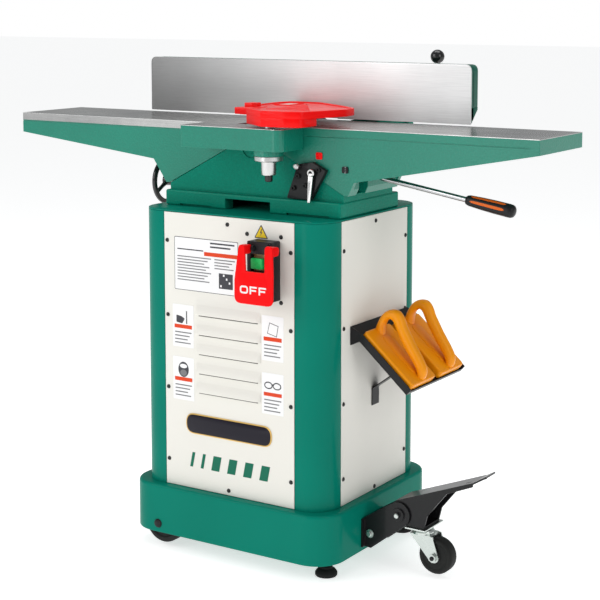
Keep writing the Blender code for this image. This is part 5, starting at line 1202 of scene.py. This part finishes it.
# the loop's section is a rounded square: cosine and sine to the power 0.85
turn = np.linspace(0, 2 * math.pi, 18, endpoint=False)
soft_cos, soft_sin = (np.sign(f) * np.abs(f) ** 0.85 for f in (np.cos(turn), np.sin(turn)))
HANDLE_HALF = 0.0112
sideways = np.broadcast_to((HANDLE_HALF * soft_sin)[:, None], (len(middle), len(turn), 1))
loop_rings = np.concatenate([middle[:, None] + soft_cos[:, None] * arm_half[:, None], sideways], axis=-1)
block_orange = moulded("push_block_orange", (0.95, 0.330, 0.0040), 0.30, 900.0, 0.06, 0.03, 0.22)
SEAT, THICK, WIDE = 0.0023, 0.0185, 0.0920
for name, body in (("push_block_1", "block_near"), ("push_block_2", "block_far")):
    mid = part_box(name)[0][1] + WIDE / 2
    pad = fillet([(-0.006, -WIDE / 2), (0.129, -WIDE / 2), (0.129, WIDE / 2), (-0.006, WIDE / 2)], 0.008, 5)
    pad_skin = slab(pad, (SEAT, SEAT + THICK), "z", 0.0035, 4)
    groove = slab(oblong((0.016, 0.108), (-0.0155, 0.0155), 0.012),
                  (SEAT + THICK - 0.0005, SEAT + THICK + 0.0012), "z", 0.0010)
    parts = [(on_tray(v[:, [0, 2, 1]], mid), f) for v, f in (pad_skin, groove)]
    parts.append(rings_to_skin(on_tray(loop_rings, mid), looped=True))
    piece(name + "_moulding", parts, block_orange, body, (name,))

# ---- pedal caster: welded black steel ears on the plinth and a folded foot pedal between them, on a
# bolt; under the pedal a zinc-plated swivel caster with a hard rubber tyre.
pedal_black = enamel("pedal_black_enamel", (0.010, 0.010, 0.011), 0.30, 0.15, 400.0, 0.08, 0.2, coat=0.2)
dress("outrigger_bracket", pedal_black, 0.0010)
dress("pedal_arm", pedal_black, 0.0009)
dress("caster_plate", zinc, 0.0004)
dress("caster_fork", zinc, 0.0010)
ear_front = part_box("outrigger_bracket")[0][1]
FIXING, HINGE_BOLT = (0.2385, -0.0577, 0.0700), (0.299, ear_front + 0.0002, 0.1175)
washer_head = [(0, -0.0052), (0.0040, -0.0052), (0.0052, -0.0042), (0.0056, -0.0010), (0.0080, -0.0008),
               (0.0082, 0.0), (0, 0.0)]
rivet_head = [(0, -0.0030), (0.0034, -0.0030), (0.0046, -0.0020), (0.0050, 0.0), (0, 0.0)]
piece("outrigger_bolts", [turned(washer_head, FIXING, "y", 24), turned(rivet_head, HINGE_BOLT, "y", 20)],
      zinc, "body")
caster_lo, caster_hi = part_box("caster_wheel")
axle_x, axle_z = (caster_lo[0] + caster_hi[0]) / 2, (caster_lo[2] + caster_hi[2]) / 2
fork_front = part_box("caster_fork")[0][1]
piece("caster_tyre", [wheel_skin(caster_lo, caster_hi, 0.0095, 0.0020)], tyre_rubber, "caster_wheel",
      ("caster_wheel",))
axle = turned([(0, -0.0030), (0.0030, -0.0030), (0.0040, -0.0022), (0.0044, 0.0), (0, 0.0)],
              (axle_x, fork_front + 0.0004, axle_z), "y", 20)
piece("caster_axle_end", [axle], black_enamel, "caster_fork")

# ---- floor: a plain pale sheet under the feet.
floor_mesh = bpy.data.meshes.new("floor")
floor_mesh.from_pydata([(-30, -30, 0), (30, -30, 0), (30, 30, 0), (-30, 30, 0)], [], [(0, 1, 2, 3)])
floor = bpy.data.objects.new("floor", floor_mesh)
scene.collection.objects.link(floor)
pale, _, pale_shader = start_finish("floor_white", 0.9, specular=0.1)
pale_shader.inputs["Base Color"].default_value = (0.90, 0.90, 0.90, 1)
pale_shader.inputs["Emission Color"].default_value = (1, 1, 1, 1)
pale_shader.inputs["Emission Strength"].default_value = 0.62
floor.data.materials.append(pale)
